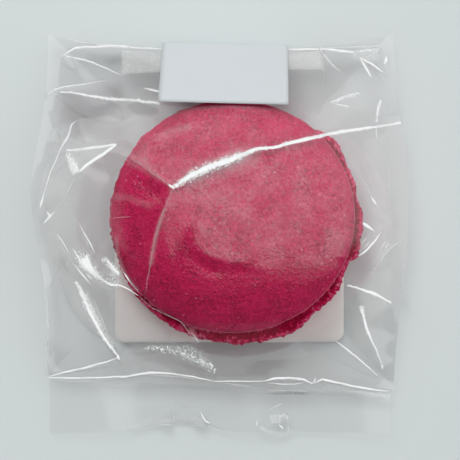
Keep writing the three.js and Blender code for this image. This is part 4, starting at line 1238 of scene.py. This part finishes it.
def under_label(x, y):
    """1 under the label and 0 away from it, and the film's height there."""
    c, s = math.cos(LABEL["turn"]), math.sin(LABEL["turn"])
    dx, dy = x - LABEL["x"], y - LABEL["y"]
    across, inward = dx * c + dy * s, dx * s - dy * c
    share = inward / FRONT_LEG["reach"]
    mask = (1 - smoothstep(*BESIDE, np.abs(across) - LABEL["width"] / 2)) * (1 - smoothstep(*PAST_END, share))
    height = FRONT_LEG["fold"] + (FRONT_LEG["end"] - FRONT_LEG["fold"]) * share - LABEL["gap"]
    return mask, height


# %% [markdown]
# ## Clear film
#
# Thin film has two faces, so it mirrors about twice what a single face of plastic would, and it
# bends nothing. It is therefore a mix of Transparent and one Principled surface, which is a plain
# mirror where the film is clear and turns white and rough where a painted highlight lies on it. The
# share that is mirrored is the usual rise towards grazing angles, from 8 per cent at a right angle,
# and Layer Weight's Facing gives it alike from both sides of the film. The Fresnel node would take
# the far side for the inside of solid glass, and show it black. Four masks come with the mesh:
# contact, where the film lies on the crumb and its mirror is broken by the grain, dimmed_mirror,
# where its mirror is turned down as painted shade, painted_highlight, white patches in place of
# glints and veils, and painted_shade, where a darker tint lets less light through in place of shadow.

# %% Film material
FILM_MIRROR = 0.08
FILM_ROUGHNESS = 0.07
FILM_TINT = (0.995, 0.99, 0.99, 1.0)
# The darker tint of the painted shade.
PAINTED_SHADE_TINT = (0.815, 0.79, 0.80, 1.0)
# Where the film lies on the crumb: how rough it mirrors, and the range of what is left of it.
ON_CRUMB = {
    "roughness": 0.14,
    "least": 0.78,
    "most": 2.05,
    "in_wrinkles": 0.55,
    "patches": (0.80, 1.24),
    "patch_scale": 210.0,
    "grain": 0.6,
}
# Painted highlight: how much of it is an even veil, its specks to the metre, and how soon and how
# sharply the specks come up as the highlight grows.
PAINTED_HIGHLIGHT_LOOK = {"veil": 0.45, "specks": 3000.0, "roughness": 0.5, "gain": 0.77, "level": 1.02, "edge": 0.05}


def film_material(name, ripple, roughness, strength, mirror, tint=FILM_TINT):
    """Clear film with its four masks. A mesh without one of them counts as 0 in it."""
    material, tree = new_material(name)
    position = object_coordinates(tree)
    contact = mask_attribute(tree, "contact")
    dimmed_mirror = mask_attribute(tree, "dimmed_mirror")
    rippled = grouped(tree, film_ripple, position, Ripple=ripple)
    crumb = grouped(tree, meringue_grain, position)
    relief = times(tree, crumb["Height"], ON_CRUMB["grain"])
    pressed = times(tree, contact, relief)
    height = math_of(tree, "ADD", rippled["Height"], pressed)
    bump = put(tree, "ShaderNodeBump", {"Strength": strength, "Distance": 0.08 * MM, "Height": height})
    facing = put(tree, "ShaderNodeLayerWeight", {"Blend": 0.5, "Normal": bump.outputs[0]}).outputs["Facing"]
    rise = math_of(tree, "POWER", facing, 5.0)
    share = math_of(tree, "MULTIPLY_ADD", rise, 1.0 - mirror, mirror)
    touched = map_range(tree, crumb["Cloud"], 0.40, 0.60, ON_CRUMB["least"], ON_CRUMB["most"])
    sunken = map_range(tree, crumb["Wrinkle"], 0.0, 1.0, 1.0, ON_CRUMB["in_wrinkles"])
    patches = noise_of(tree, position, ON_CRUMB["patch_scale"], 3.0)
    pressed_on = map_range(tree, patches, 0.36, 0.64, *ON_CRUMB["patches"])
    touched = times(tree, touched, times(tree, sunken, pressed_on))
    kept = math_of(tree, "MULTIPLY_ADD", contact, math_of(tree, "SUBTRACT", touched, 1.0), 1.0)
    # Painted shade: the film mirrors less where dimmed_mirror is set.
    kept = times(tree, kept, math_of(tree, "SUBTRACT", 1.0, dimmed_mirror))
    mirrored = times(tree, share, kept)
    # Painted highlight: where this mask is set the film turns white and rough, as an even veil and in specks.
    painted_highlight = mask_attribute(tree, "painted_highlight")
    specks = noise_of(tree, position, PAINTED_HIGHLIGHT_LOOK["specks"], 1.0)
    below = math_of(tree, "SUBTRACT", specks, PAINTED_HIGHLIGHT_LOOK["level"])
    over = math_of(tree, "MULTIPLY_ADD", painted_highlight, PAINTED_HIGHLIGHT_LOOK["gain"], below)
    over = map_range(tree, over, -PAINTED_HIGHLIGHT_LOOK["edge"], PAINTED_HIGHLIGHT_LOOK["edge"])
    speckled = times(tree, over, math_of(tree, "POWER", painted_highlight, 0.5))
    white = math_of(tree, "MAXIMUM", speckled, times(tree, painted_highlight, PAINTED_HIGHLIGHT_LOOK["veil"]))
    both = math_of(tree, "ADD", mirrored, white)
    seen = math_of(tree, "MULTIPLY_ADD", times(tree, mirrored, white), -1.0, both)
    rough = math_of(tree, "MULTIPLY_ADD", contact, ON_CRUMB["roughness"] - roughness, roughness)
    highlight_rough = times(tree, painted_highlight, PAINTED_HIGHLIGHT_LOOK["roughness"])
    # Painted shade: the darker tint is mixed in where the painted_shade mask is set.
    passed = mix_colour(tree, mask_attribute(tree, "painted_shade"), tint, PAINTED_SHADE_TINT)
    clear = put(tree, "ShaderNodeBsdfTransparent", {"Color": passed})
    shine = put(
        tree,
        "ShaderNodeBsdfPrincipled",
        {
            "Base Color": (0.97, 0.98, 0.98, 1.0),
            "Metallic": math_of(tree, "DIVIDE", mirrored, math_of(tree, "MAXIMUM", both, 0.001)),
            "Roughness": math_of(tree, "MAXIMUM", rough, highlight_rough),
            "Normal": bump.outputs[0],
        },
    )
    mixed = put(tree, "ShaderNodeMixShader", {0: seen, 1: clear.outputs[0], 2: shine.outputs[0]})
    finish_material(tree, mixed)
    return material


clear_film = film_material("clear_film", 260.0, FILM_ROUGHNESS, 0.5, FILM_MIRROR)
print("clear film mirrors", FILM_MIRROR, "at a right angle")

# %% [markdown]
# ## The film
#
# Front and back sheet are two grids that share their border, so the pillow is one closed skin.
# The drape is blurred more than the creases, because the film rounds the cap's shoulder in a
# wide curve but keeps its creases sharp. On the cap it also follows most of the swirl.

# %% Film mesh
ACROSS = 200
ALONG = 206
DRAPE_BLURS = 9
CREASE_BLURS = 2
SWIRL_BLURS = 3
FOLLOWS = 0.65


def blurred(heights, times):
    """Each height moves towards its neighbours'. The border stays."""
    for _ in range(times):
        heights = heights.copy()
        heights[1:-1] = (heights[:-2] + 2 * heights[1:-1] + heights[2:]) / 4
        heights[:, 1:-1] = (heights[:, :-2] + 2 * heights[:, 1:-1] + heights[:, 2:]) / 4
    return heights


def sheet_grid():
    """The grid's x and y, with rows from the seal to the top edge."""
    u, v = np.meshgrid(np.linspace(0, 1, ACROSS), np.linspace(0, 1, ALONG))
    rough_x = CORNER_HALF_WIDTH * (2 * u - 1)
    y = seal_line(rough_x) * (1 - v) + top_edge(rough_x) * v
    x = left_side(y) * (1 - u) + right_side(y) * u
    return x, y


film_x, film_y = sheet_grid()
front_z, behind_z = drape(film_x, film_y)
grid_points = list(zip(film_x.ravel(), film_y.ravel()))
lifts = np.array([crease_lift(x, y) for x, y in grid_points]).reshape(film_x.shape)
border = np.ones(film_x.shape, bool)
border[1:-1, 1:-1] = False
lifts[border] = 0.0
relief = np.array([swirl_height(x, y) for x, y in grid_points]).reshape(film_x.shape)
front_z = blurred(front_z, DRAPE_BLURS) + blurred(lifts, CREASE_BLURS)
front_z += FOLLOWS * blurred(relief, SWIRL_BLURS)
label_mask, label_height = under_label(film_x, film_y)
label_mask[border] = 0.0
front_z = front_z * (1 - label_mask) + label_height * label_mask
front_z = np.minimum(front_z, DOME["top"])
behind_z = blurred(behind_z, DRAPE_BLURS)
behind_z[border] = front_z[border]


def pillow(name, material):
    """One closed mesh from the two sheets, whose borders are the same points."""
    front_at = np.arange(film_x.size).reshape(film_x.shape)
    back_at = front_at.copy()
    inner = ~border
    back_at[inner] = film_x.size + np.arange(inner.sum())
    front = np.stack([film_x, film_y, front_z], axis=-1).reshape(-1, 3)
    behind = np.stack([film_x[inner], film_y[inner], behind_z[inner]], axis=-1)
    faces = []
    for at, way in ((front_at, 1), (back_at, -1)):
        quads = np.stack([at[:-1, :-1], at[:-1, 1:], at[1:, 1:], at[1:, :-1]], axis=-1).reshape(-1, 4)
        faces += quads[:, ::way].tolist()
    made = mesh_object(name, np.concatenate([front, behind]), faces, material)
    on_border = border.ravel()
    sharp = [all(i < film_x.size and on_border[i] for i in edge.vertices) for edge in made.data.edges]
    made.data.attributes.new("sharp_edge", "BOOLEAN", "EDGE").data.foreach_set("value", sharp)
    return made


film = pillow("film", clear_film)
print("film triangles:", 2 * len(film.data.polygons), "top:", round(float(front_z.max()), 2))

# %% Masks on the film
# The film lies on the crumb over the cap, and the mask fades out before the cap's edge.
CONTACT = {"centre": (2.5, 3.7), "radii": (24.1, 22.9), "fade": (0.90, 0.99)}


def line_distance(x, y, start, end):
    """How far each point is from a straight stretch."""
    (x0, y0), (x1, y1) = start, end
    length = max((x1 - x0) ** 2 + (y1 - y0) ** 2, 1e-9)
    share = np.clip(((x - x0) * (x1 - x0) + (y - y0) * (y1 - y0)) / length, 0, 1)
    return np.hypot(x - x0 - share * (x1 - x0), y - y0 - share * (y1 - y0))


def inside_outline(x, y, points):
    """Whether each point is inside an outline, by counting the sides to its right."""
    inside = np.zeros(x.shape, bool)
    for (x0, y0), (x1, y1) in zip(points, points[1:] + points[:1]):
        if y0 != y1:
            inside ^= ((y0 > y) != (y1 > y)) & (x < x0 + (y - y0) * (x1 - x0) / (y1 - y0))
    return inside


def covered(x, y, stretches):
    """How much of each point is covered by the stretches of a table."""
    clear = np.ones(x.shape)
    for cover, softness, half_width, points in stretches.values():
        ends = points[1:] if half_width else points[1:] + points[:1]
        away = np.min([line_distance(x, y, a, b) for a, b in zip(points, ends)], axis=0)
        depth = half_width - away if half_width else np.where(inside_outline(x, y, points), away, -away)
        clear *= 1 - cover * smoothstep(-softness / 2, softness / 2, depth)
    return 1 - clear


def plan_of(piece):
    """The x and y of a piece's points, in millimetres."""
    x, y, _ = np.array([tuple(vertex.co) for vertex in piece.data.vertices]).T / MM
    return x, y


skin_x, skin_y = plan_of(film)
in_front = np.arange(skin_x.size) < film_x.size
reach = np.hypot(*((at - c) / r for at, c, r in zip((skin_x, skin_y), CONTACT["centre"], CONTACT["radii"])))
point_mask(film, "contact", in_front * (1 - smoothstep(*CONTACT["fade"], reach)))
point_mask(film, "painted_highlight", in_front * covered(skin_x, skin_y, PAINTED_HIGHLIGHTS))
point_mask(film, "dimmed_mirror", in_front * covered(skin_x, skin_y, DIMMED_MIRROR))
point_mask(film, "painted_shade", ~in_front * covered(skin_x, skin_y, PAINTED_SHADE))
print("hazed stretches:", len(PAINTED_HIGHLIGHTS))

# %% [markdown]
# ## The heat seal
#
# Below the pillow the two sheets are welded flat. The strip is a thin slab that falls from the
# rim to its free end, and its end curls up in slow waves. The end was cut while the film was
# slack, so it also wavers in plan.

# %% Seal strip
SEAL = {"thickness": 0.10, "end": 0.7, "columns": 200, "rows": 30, "inset": 0.2}
CURL = {"height": 0.7, "pitch": 27.0}


def seal_surface(u, v):
    """A point of the strip's middle plane: u goes along the seal and v to the free end."""
    low, high = -CORNER_HALF_WIDTH + SEAL["inset"], CORNER_HALF_WIDTH - SEAL["inset"]
    x = low + (high - low) * u
    y = seal_line(x) * (1 - v) + free_end(x) * v
    fall = (RIM["corner"] + RIM["seal"] * (1 - (2 * u - 1) ** 2)) * (1 - v) + SEAL["end"] * v
    curl = CURL["height"] * v * (1 + np.sin(2 * math.pi * x / CURL["pitch"]))
    return x, y, fall + curl


def slab(name, surface, columns, rows, thickness, material):
    """A thin closed slab round a surface that is given by two shares."""
    u, v = np.meshgrid(np.linspace(0, 1, columns), np.linspace(0, 1, rows))
    x, y, z = surface(u, v)
    points = np.concatenate(
        [np.stack([x, y, z + side * thickness / 2], axis=-1).reshape(-1, 3) for side in (1, -1)]
    )
    at = np.arange(u.size).reshape(u.shape)
    quads = np.stack([at[:-1, :-1], at[1:, :-1], at[1:, 1:], at[:-1, 1:]], axis=-1).reshape(-1, 4)
    loop = np.concatenate([at[0, :-1], at[:-1, -1], at[-1, :0:-1], at[:0:-1, 0]])
    faces = quads.tolist() + (quads[:, ::-1] + u.size).tolist()
    for a, b in zip(loop, np.roll(loop, -1)):
        faces.append((int(a), int(b), int(b) + u.size, int(a) + u.size))
    return mesh_object(name, points, faces, material)


WELDED_TINT = (1.0, 0.997, 0.997, 1.0)
welded_film = film_material("welded_film", 200.0, 0.10, 0.35, 0.03, WELDED_TINT)
heat_seal = slab("heat_seal", seal_surface, SEAL["columns"], SEAL["rows"], SEAL["thickness"], welded_film)
# The strip carries painted highlights too.
point_mask(heat_seal, "painted_highlight", covered(*plan_of(heat_seal), PAINTED_HIGHLIGHTS))
print("seal faces:", len(heat_seal.data.polygons))

# %% Heights on the film
front_count = (ACROSS - 1) * (ALONG - 1)


def surface_tree(piece, count):
    """The first faces of a piece, ready to be hit by a ray."""
    return BVHTree.FromPolygons(
        [vertex.co for vertex in piece.data.vertices],
        [tuple(face.vertices) for face in piece.data.polygons[:count]],
    )


film_trees = [surface_tree(film, front_count), surface_tree(heat_seal, len(heat_seal.data.polygons))]


def film_height(x, y):
    """The height of the front sheet or of the seal strip at a point, or None beside them."""
    for tree in film_trees:
        hit = tree.ray_cast(Vector((x * MM, y * MM, 0.05)), Vector((0, 0, -1)))[0]
        if hit:
            return hit.z / MM
    return None


print("film over the middle of the cap:", round(film_height(DOME["x"], DOME["y"]), 2), "mm")

# %% [markdown]
# ## Glints
#
# Along a crease the film is rolled tight, with several faces behind each other, and mirrors
# nearly everything at some angle. The white threads here are painted highlights along the creases:
# near-mirrors whose shading is turned to face up, so that they stay bright whichever way the film
# leans, with a cover set crease by crease. Each thread is a thin lens that tapers at both ends.
# Geometry Nodes sweep it along the crease lines in plan, and strew small sparks round the strongest
# ones, painted highlights too. The finished meshes are then laid on the film.

# %% Glint material
# Where the noise is low the thread lets a little through. The range over which it closes up.
GLINT_BROKEN = (0.34, 0.48)
GLINT_LEAST = 0.8

glint, tree = new_material("crease_glint")
speckle = noise_of(tree, object_coordinates(tree), 3200.0, 1.0)
drift = noise_of(tree, object_coordinates(tree), 260.0, 2.0)
drift, speckle = (map_range(tree, value, *GLINT_BROKEN, GLINT_LEAST, 1.0) for value in (drift, speckle))
whole = times(tree, drift, speckle)
finish_material(
    tree,
    put(
        tree,
        "ShaderNodeBsdfPrincipled",
        {
            "Base Color": (0.98, 0.985, 0.99, 1.0),
            "Metallic": 0.85,
            "Roughness": 0.16,
            "Alpha": times(tree, whole, mask_attribute(tree, "cover")),
        },
    ),
)
print("nodes in the glint:", len(tree.nodes))

# %% Glint tree
def geometry_tree(name, numbers):
    """A Geometry Nodes tree with named number inputs, ready to be filled."""
    made = bpy.data.node_groups.new(name, "GeometryNodeTree")
    made.interface.new_socket("Geometry", in_out="INPUT", socket_type="NodeSocketGeometry")
    for label, value in numbers.items():
        kind = "NodeSocketInt" if isinstance(value, int) else "NodeSocketFloat"
        made.interface.new_socket(label, in_out="INPUT", socket_type=kind).default_value = value
    made.interface.new_socket("Geometry", in_out="OUTPUT", socket_type="NodeSocketGeometry")
    return made, put(made, "NodeGroupInput").outputs


def close_tree(tree, geometry, material):
    """Ends a tree in real geometry with its material."""
    real = put(tree, "GeometryNodeRealizeInstances", {0: geometry})
    painted = put(tree, "GeometryNodeSetMaterial", {"Geometry": real.outputs[0], "Material": material})
    put(tree, "NodeGroupOutput", {"Geometry": painted.outputs[0]})


def grown(name, seed_points, seed_edges, tree, attributes=None, **numbers):
    """Runs a tree on points in millimetres and returns its result as a plain mesh object."""
    seed = mesh_object(name + "_seed", seed_points, [], glint)
    seed.data.clear_geometry()
    seed.data.from_pydata((np.asarray(seed_points, float) * MM).tolist(), seed_edges, [])
    for label, values in (attributes or {}).items():
        point_mask(seed, label, values)
    modifier = seed.modifiers.new("grow", "NODES")
    modifier.node_group = tree
    for item in tree.interface.items_tree:
        if item.in_out == "INPUT" and item.name in numbers:
            modifier[item.identifier] = numbers[item.name]
    seed.update_tag()
    bpy.context.view_layer.update()
    evaluated = seed.evaluated_get(bpy.context.evaluated_depsgraph_get())
    mesh = bpy.data.meshes.new_from_object(evaluated)
    bpy.data.objects.remove(seed)
    mesh.name = name
    made = bpy.data.objects.new(name, mesh)
    bpy.context.scene.collection.objects.link(made)
    mesh.shade_smooth()
    return made


def vector_math(tree, operation, *values):
    """One Vector Math node's output."""
    return put(tree, "ShaderNodeVectorMath", dict(enumerate(values)), operation=operation).outputs[0]


def scaled(tree, vector, length):
    """A vector made longer or shorter by a number."""
    return put(tree, "ShaderNodeVectorMath", {0: vector, "Scale": length}, operation="SCALE").outputs[0]


def points_along(tree, given, step):
    """Points at even steps along the lines of the seed mesh."""
    line = put(tree, "GeometryNodeMeshToCurve", {"Mesh": given["Geometry"]})
    line = {"Curve": line.outputs[0], "Length": given[step]}
    return put(tree, "GeometryNodeCurveToPoints", line, mode="LENGTH")


def named(tree, label):
    """A number that the seed mesh carries under a name."""
    return put(tree, "GeometryNodeInputNamedAttribute", {"Name": label}, data_type="FLOAT").outputs[0]


thread_tree, given = geometry_tree(
    "crease threads", {"Step": 0.4 * MM, "Sides": 8, "Flatness": 0.3, "Wobble": 0.08 * MM}
)
line = put(thread_tree, "GeometryNodeMeshToCurve", {"Mesh": given["Geometry"]})
line = {"Curve": line.outputs[0], "Length": given["Step"]}
line = put(thread_tree, "GeometryNodeResampleCurve", line, mode="LENGTH")
waver = put(thread_tree, "ShaderNodeTexNoise", {"Scale": 420.0, "Detail": 1.0})
offset = vector_math(thread_tree, "SUBTRACT", waver.outputs["Color"], (0.5, 0.5, 0.5))
offset = vector_math(thread_tree, "MULTIPLY", offset, (4.0, 4.0, 0.0))
offset = scaled(thread_tree, offset, given["Wobble"])
line = put(thread_tree, "GeometryNodeSetPosition", {"Geometry": line.outputs[0], "Offset": offset})
along = put(thread_tree, "GeometryNodeSplineParameter").outputs["Factor"]
ends = times(thread_tree, along, math_of(thread_tree, "SUBTRACT", 1.0, along))
taper = math_of(thread_tree, "POWER", times(thread_tree, ends, 4.0), 0.3)
taper = math_of(thread_tree, "MAXIMUM", taper, 0.1)
radius = times(thread_tree, named(thread_tree, "half_width"), taper)
line = put(thread_tree, "GeometryNodeSetCurveNormal", {"Curve": line.outputs[0]}, mode="Z_UP")
section = put(thread_tree, "GeometryNodeCurvePrimitiveCircle", {"Resolution": given["Sides"], "Radius": 1.0})
squeeze = put(thread_tree, "ShaderNodeCombineXYZ", {0: 1.0, 1: given["Flatness"], 2: 1.0})
section = {"Geometry": section.outputs[0], "Scale": squeeze.outputs[0]}
section = put(thread_tree, "GeometryNodeTransform", section)
swept = put(
    thread_tree,
    "GeometryNodeCurveToMesh",
    {"Curve": line.outputs[0], "Profile Curve": section.outputs[0], "Scale": radius, "Fill Caps": True},
)
close_tree(thread_tree, swept.outputs[0], glint)
print("nodes in the thread tree:", len(thread_tree.nodes))

# %% Spark tree
# Small flat beads, strewn along a line and thickest at its middle.
SPARK_SIZES = {"Step": 0.05 * MM, "Smallest": 0.03 * MM, "Largest": 0.15 * MM, "Seed": 3}
SIDEWAYS = ((-0.5, -0.5, 0.0), (0.5, 0.5, 0.0))

spark_tree, given = geometry_tree("crease sparks", SPARK_SIZES)
spots = points_along(spark_tree, given, "Step")


def random_value(tree, seed_step, low, high, kind="FLOAT"):
    """A random number or vector for each point, between two limits."""
    seed = math_of(tree, "ADD", given["Seed"], seed_step)
    first = {"FLOAT": 2, "FLOAT_VECTOR": 0}[kind]
    made = put(tree, "FunctionNodeRandomValue", {first: low, first + 1: high, "Seed": seed}, data_type=kind)
    return made.outputs[{"FLOAT": 1, "FLOAT_VECTOR": 0}[kind]]


# The sum of two even draws is thickest at its middle.
draws = [random_value(spark_tree, step, *SIDEWAYS, "FLOAT_VECTOR") for step in (1, 2)]
offset = scaled(spark_tree, vector_math(spark_tree, "ADD", *draws), named(spark_tree, "band"))
spots = put(spark_tree, "GeometryNodeSetPosition", {"Geometry": spots.outputs[0], "Offset": offset})
chosen = put(
    spark_tree,
    "FunctionNodeCompare",
    {0: random_value(spark_tree, 4, 0.0, 1.0), 1: named(spark_tree, "chance")},
    data_type="FLOAT",
    operation="LESS_THAN",
)
bead = put(spark_tree, "GeometryNodeMeshIcoSphere", {"Radius": 1.0, "Subdivisions": 1})
bead = put(spark_tree, "GeometryNodeTransform", {"Geometry": bead.outputs[0], "Scale": (1.0, 1.0, 0.35)})
size = random_value(spark_tree, 5, given["Smallest"], given["Largest"])
size = put(spark_tree, "ShaderNodeCombineXYZ", dict.fromkeys(range(3), size))
sown = put(
    spark_tree,
    "GeometryNodeInstanceOnPoints",
    {
        "Points": spots.outputs[0],
        "Selection": chosen.outputs[0],
        "Instance": bead.outputs[0],
        "Scale": size.outputs[0],
    },
)
close_tree(spark_tree, sown.outputs[0], glint)
print("nodes in the spark tree:", len(spark_tree.nodes))

# %% Threads on the film
# A thread is sunk a little into the film, so that its edge doesn't float.
THREAD_SINK = 0.02
# A glint spreads a little wider than the crease itself.
WIDEN = 1.2
# How far the shading of glints and sparks is turned up, to keep the painted highlights bright.
LEVEL_SHARE = 0.9
SPARK_STEP = 0.02


def laid_on_film(piece, sink):
    """Lifts a piece that was made flat, at height 0, on to the front sheet."""
    for vertex in piece.data.vertices:
        height = film_height(vertex.co.x / MM, vertex.co.y / MM)
        vertex.co.z += (height if height is not None else RIM["corner"]) * MM - sink * MM
    piece.data.update()


def lit_as_level(piece, share):
    """Turns the shading of a piece towards +Z, as a crease holds faces of every direction. It keeps the
    painted highlight bright whichever way the film leans.
    """
    normals = np.array([tuple(vertex.normal) for vertex in piece.data.vertices]) * (1 - share)
    normals[:, 2] += share
    normals /= np.linalg.norm(normals, axis=1, keepdims=True)
    piece.data.normals_split_custom_set_from_vertices(normals.tolist())


def crease_lines(names):
    """The creases' points and edges in plan, for a seed mesh."""
    points, edges = [], []
    for name in names:
        line = CREASES[name][3]
        edges += [(len(points) + i, len(points) + i + 1) for i in range(len(line) - 1)]
        points += [(x, y, 0.0) for x, y in line]
    return points, edges


def along_creases(names, values_of):
    """One number for each point of the creases."""
    return [value for name in names for value in spaced(values_of(name), len(CREASES[name][3]))]


crease_glints = grown(
    "crease_glints",
    *crease_lines(CREASES),
    thread_tree,
    {
        "half_width": along_creases(CREASES, lambda name: [w * WIDEN * MM for w in CREASES[name][1]]),
        "cover": along_creases(CREASES, lambda name: [CREASES[name][2]]),
    },
)
laid_on_film(crease_glints, THREAD_SINK)
lit_as_level(crease_glints, LEVEL_SHARE)
crease_sparks = grown(
    "crease_sparks",
    *crease_lines(SPARKS),
    spark_tree,
    {
        "band": along_creases(SPARKS, lambda name: [w * MM for w in SPARKS[name][0]]),
        "chance": along_creases(SPARKS, lambda name: [SPARKS[name][1] * SPARK_STEP]),
        "cover": along_creases(SPARKS, lambda name: [1.0]),
    },
    Step=SPARK_STEP * MM,
)
laid_on_film(crease_sparks, 0.0)
lit_as_level(crease_sparks, LEVEL_SHARE)
for piece in (crease_glints, crease_sparks):
    print(piece.name, "faces:", len(piece.data.polygons))

# %% [markdown]
# ## Teeth of the weld
#
# The jaws left a row of fine teeth along the weld. A tooth is one short bar, repeated by Geometry
# Nodes at even steps along the weld. Most are faint, and a few right of the middle are sharp.

# %% Seal teeth
TOOTH = {"pitch": 0.42, "width": 0.20, "length": 1.0, "height": 0.03, "from_seal": 0.09}
# How plain the teeth are, from left to right along the weld. They are drawn in the glint's white, so this
# places their painted highlight.
TOOTH_COVER = ((-34, 0.05), (-6, 0.12), (9, 0.2), (11.5, 1.0), (17, 1.0), (18, 0.2), (34, 0.08))

TOOTH_LINE_POINTS = 70
TOOTH_LINE_INSET = 1.5

tooth_tree, given = geometry_tree(
    "seal teeth", {size.capitalize(): TOOTH[size] * MM for size in ("pitch", "width", "length", "height")}
)
steps = points_along(tooth_tree, given, "Pitch")
size = put(tooth_tree, "ShaderNodeCombineXYZ", {0: given["Width"], 1: given["Length"], 2: given["Height"]})
bar = put(tooth_tree, "GeometryNodeMeshCube", {"Size": size.outputs[0], "Vertices Y": 4})
repeated = {"Points": steps.outputs[0], "Instance": bar.outputs[0]}
repeated = put(tooth_tree, "GeometryNodeInstanceOnPoints", repeated)
close_tree(tooth_tree, repeated.outputs[0], glint)

half_band = CORNER_HALF_WIDTH - TOOTH_LINE_INSET
tooth_line = [(x, 0.0, 0.0) for x in np.linspace(-half_band, half_band, TOOTH_LINE_POINTS)]
tooth_edges = [(i, i + 1) for i in range(TOOTH_LINE_POINTS - 1)]
tooth_cover = np.interp([x for x, _, _ in tooth_line], *zip(*TOOTH_COVER))
seal_teeth = grown("seal_teeth", tooth_line, tooth_edges, tooth_tree, {"cover": tooth_cover})
# The row was grown along the x axis, and is now laid on the strip, just below the weld line.
band_depth = SEAL_MIDDLE - PACK_END
for vertex in seal_teeth.data.vertices:
    u = np.clip((vertex.co.x / MM + CORNER_HALF_WIDTH) / (2 * CORNER_HALF_WIDTH), 0, 1)
    v = TOOTH["from_seal"] - vertex.co.y / MM / band_depth
    x, y, z = seal_surface(u, v)
    vertex.co = Vector((x, y, z + SEAL["thickness"] / 2 + vertex.co.z / MM)) * MM
seal_teeth.data.update()
print("teeth:", len(seal_teeth.data.polygons), "faces")

# %% [markdown]
# ## The flap inside
#
# Before the label goes on, the top edge is turned in once. The turned-in flap lies on the back
# sheet, and shows as a band behind the label that ends short of both corners.

# %% Top flap
FLAP = {"x": (-19.9, 21.2), "low": (32.9, 33.8), "high": 37.6, "gap": 0.35, "thickness": 0.06}
FLAP_STEPS = (60, 10)
# The whole flap carries a painted highlight.
FLAP_PAINTED_HIGHLIGHT = 0.46


def flap_surface(u, v):
    """A point of the flap: u goes to the right and v to the top edge."""
    x = FLAP["x"][0] * (1 - u) + FLAP["x"][1] * u
    low = FLAP["low"][0] * (1 - u) + FLAP["low"][1] * u
    y = low * (1 - v) + FLAP["high"] * v
    return x, y, drape(x, y)[1] + FLAP["gap"]


top_flap = slab("top_flap", flap_surface, *FLAP_STEPS, FLAP["thickness"], welded_film)
point_mask(top_flap, "painted_highlight", [FLAP_PAINTED_HIGHLIGHT] * len(top_flap.data.vertices))
print("flap faces:", len(top_flap.data.polygons))

# %% [markdown]
# ## The label
#
# A strip of paper folded over the bag's top edge. Its front leg climbs with the film to the
# cap, and its back leg lies under the bag. The section is drawn once round the fold, as two
# straight legs and an arc, and is extruded across.

# %% Label mesh
LABEL_THICKNESS = 0.22
LABEL_COLUMNS = 24
# The arc of the fold: where its middle lies and how far round it goes, in degrees.
FOLD = {"inward": 0.35, "from": 130, "to": 256, "steps": 10}
LEG_STEPS = 16
# The paper's middle line lies this far outside the planes of the two legs.
OUTSIDE = 0.15


def leg(start, end):
    """Even steps along a straight leg, without its last point."""
    (x0, z0), (x1, z1) = start, end
    return [(x0 + (x1 - x0) * i / LEG_STEPS, z0 + (z1 - z0) * i / LEG_STEPS) for i in range(LEG_STEPS)]


def label_section():
    """The paper's middle line in the label's own plane: inward from the fold, and up."""
    front_end = (FRONT_LEG["reach"], FRONT_LEG["end"] + OUTSIDE)
    back_end = (BACK_LEG["reach"], BACK_LEG["end"] - OUTSIDE)
    middle = (FRONT_LEG["fold"] + BACK_LEG["fold"]) / 2
    radius = (FRONT_LEG["fold"] - BACK_LEG["fold"]) / 2 + OUTSIDE
    turns = np.linspace(math.radians(FOLD["from"]), math.radians(FOLD["to"]), FOLD["steps"])
    fold = [(FOLD["inward"] + radius * math.cos(a), middle + radius * math.sin(a)) for a in turns]
    return leg(front_end, fold[0]) + fold + leg(fold[-1], back_end)[1:] + [back_end]


section = label_section()


def label_surface(u, v):
    """A point of the paper: u goes across, v round the fold from the front leg's end."""
    place = v * (len(section) - 1)
    inward = np.interp(place, range(len(section)), [p[0] for p in section])
    height = np.interp(place, range(len(section)), [p[1] for p in section])
    across = LABEL["width"] * (u - 0.5)
    c, s = math.cos(LABEL["turn"]), math.sin(LABEL["turn"])
    return LABEL["x"] + across * c + inward * s, LABEL["y"] + across * s - inward * c, height


label = slab("label_paper", label_surface, LABEL_COLUMNS, len(section), LABEL_THICKNESS, label_paper)
print("label faces:", len(label.data.polygons))

# %% [markdown]
# ## The pieces and their body
#
# Nothing in the pack moves, so every piece rides on the one body. The bag's solid and the label's
# are hidden, and the film and the paper show in their place.

# %% Bodies and nodes
SLOTS = {
    "film": (film, crease_glints, crease_sparks, heat_seal, seal_teeth, top_flap),
    "macaron_shell": (top_shell, bottom_shell),
    "filling": (filling,),
    "sachet_paper": (sachet,),
    "label_paper": (label,),
}
for slot, pieces in SLOTS.items():
    for piece in pieces:
        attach(piece, "root")
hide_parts("bag")
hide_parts("label")
print("pieces:", sum(len(pieces) for pieces in SLOTS.values()))
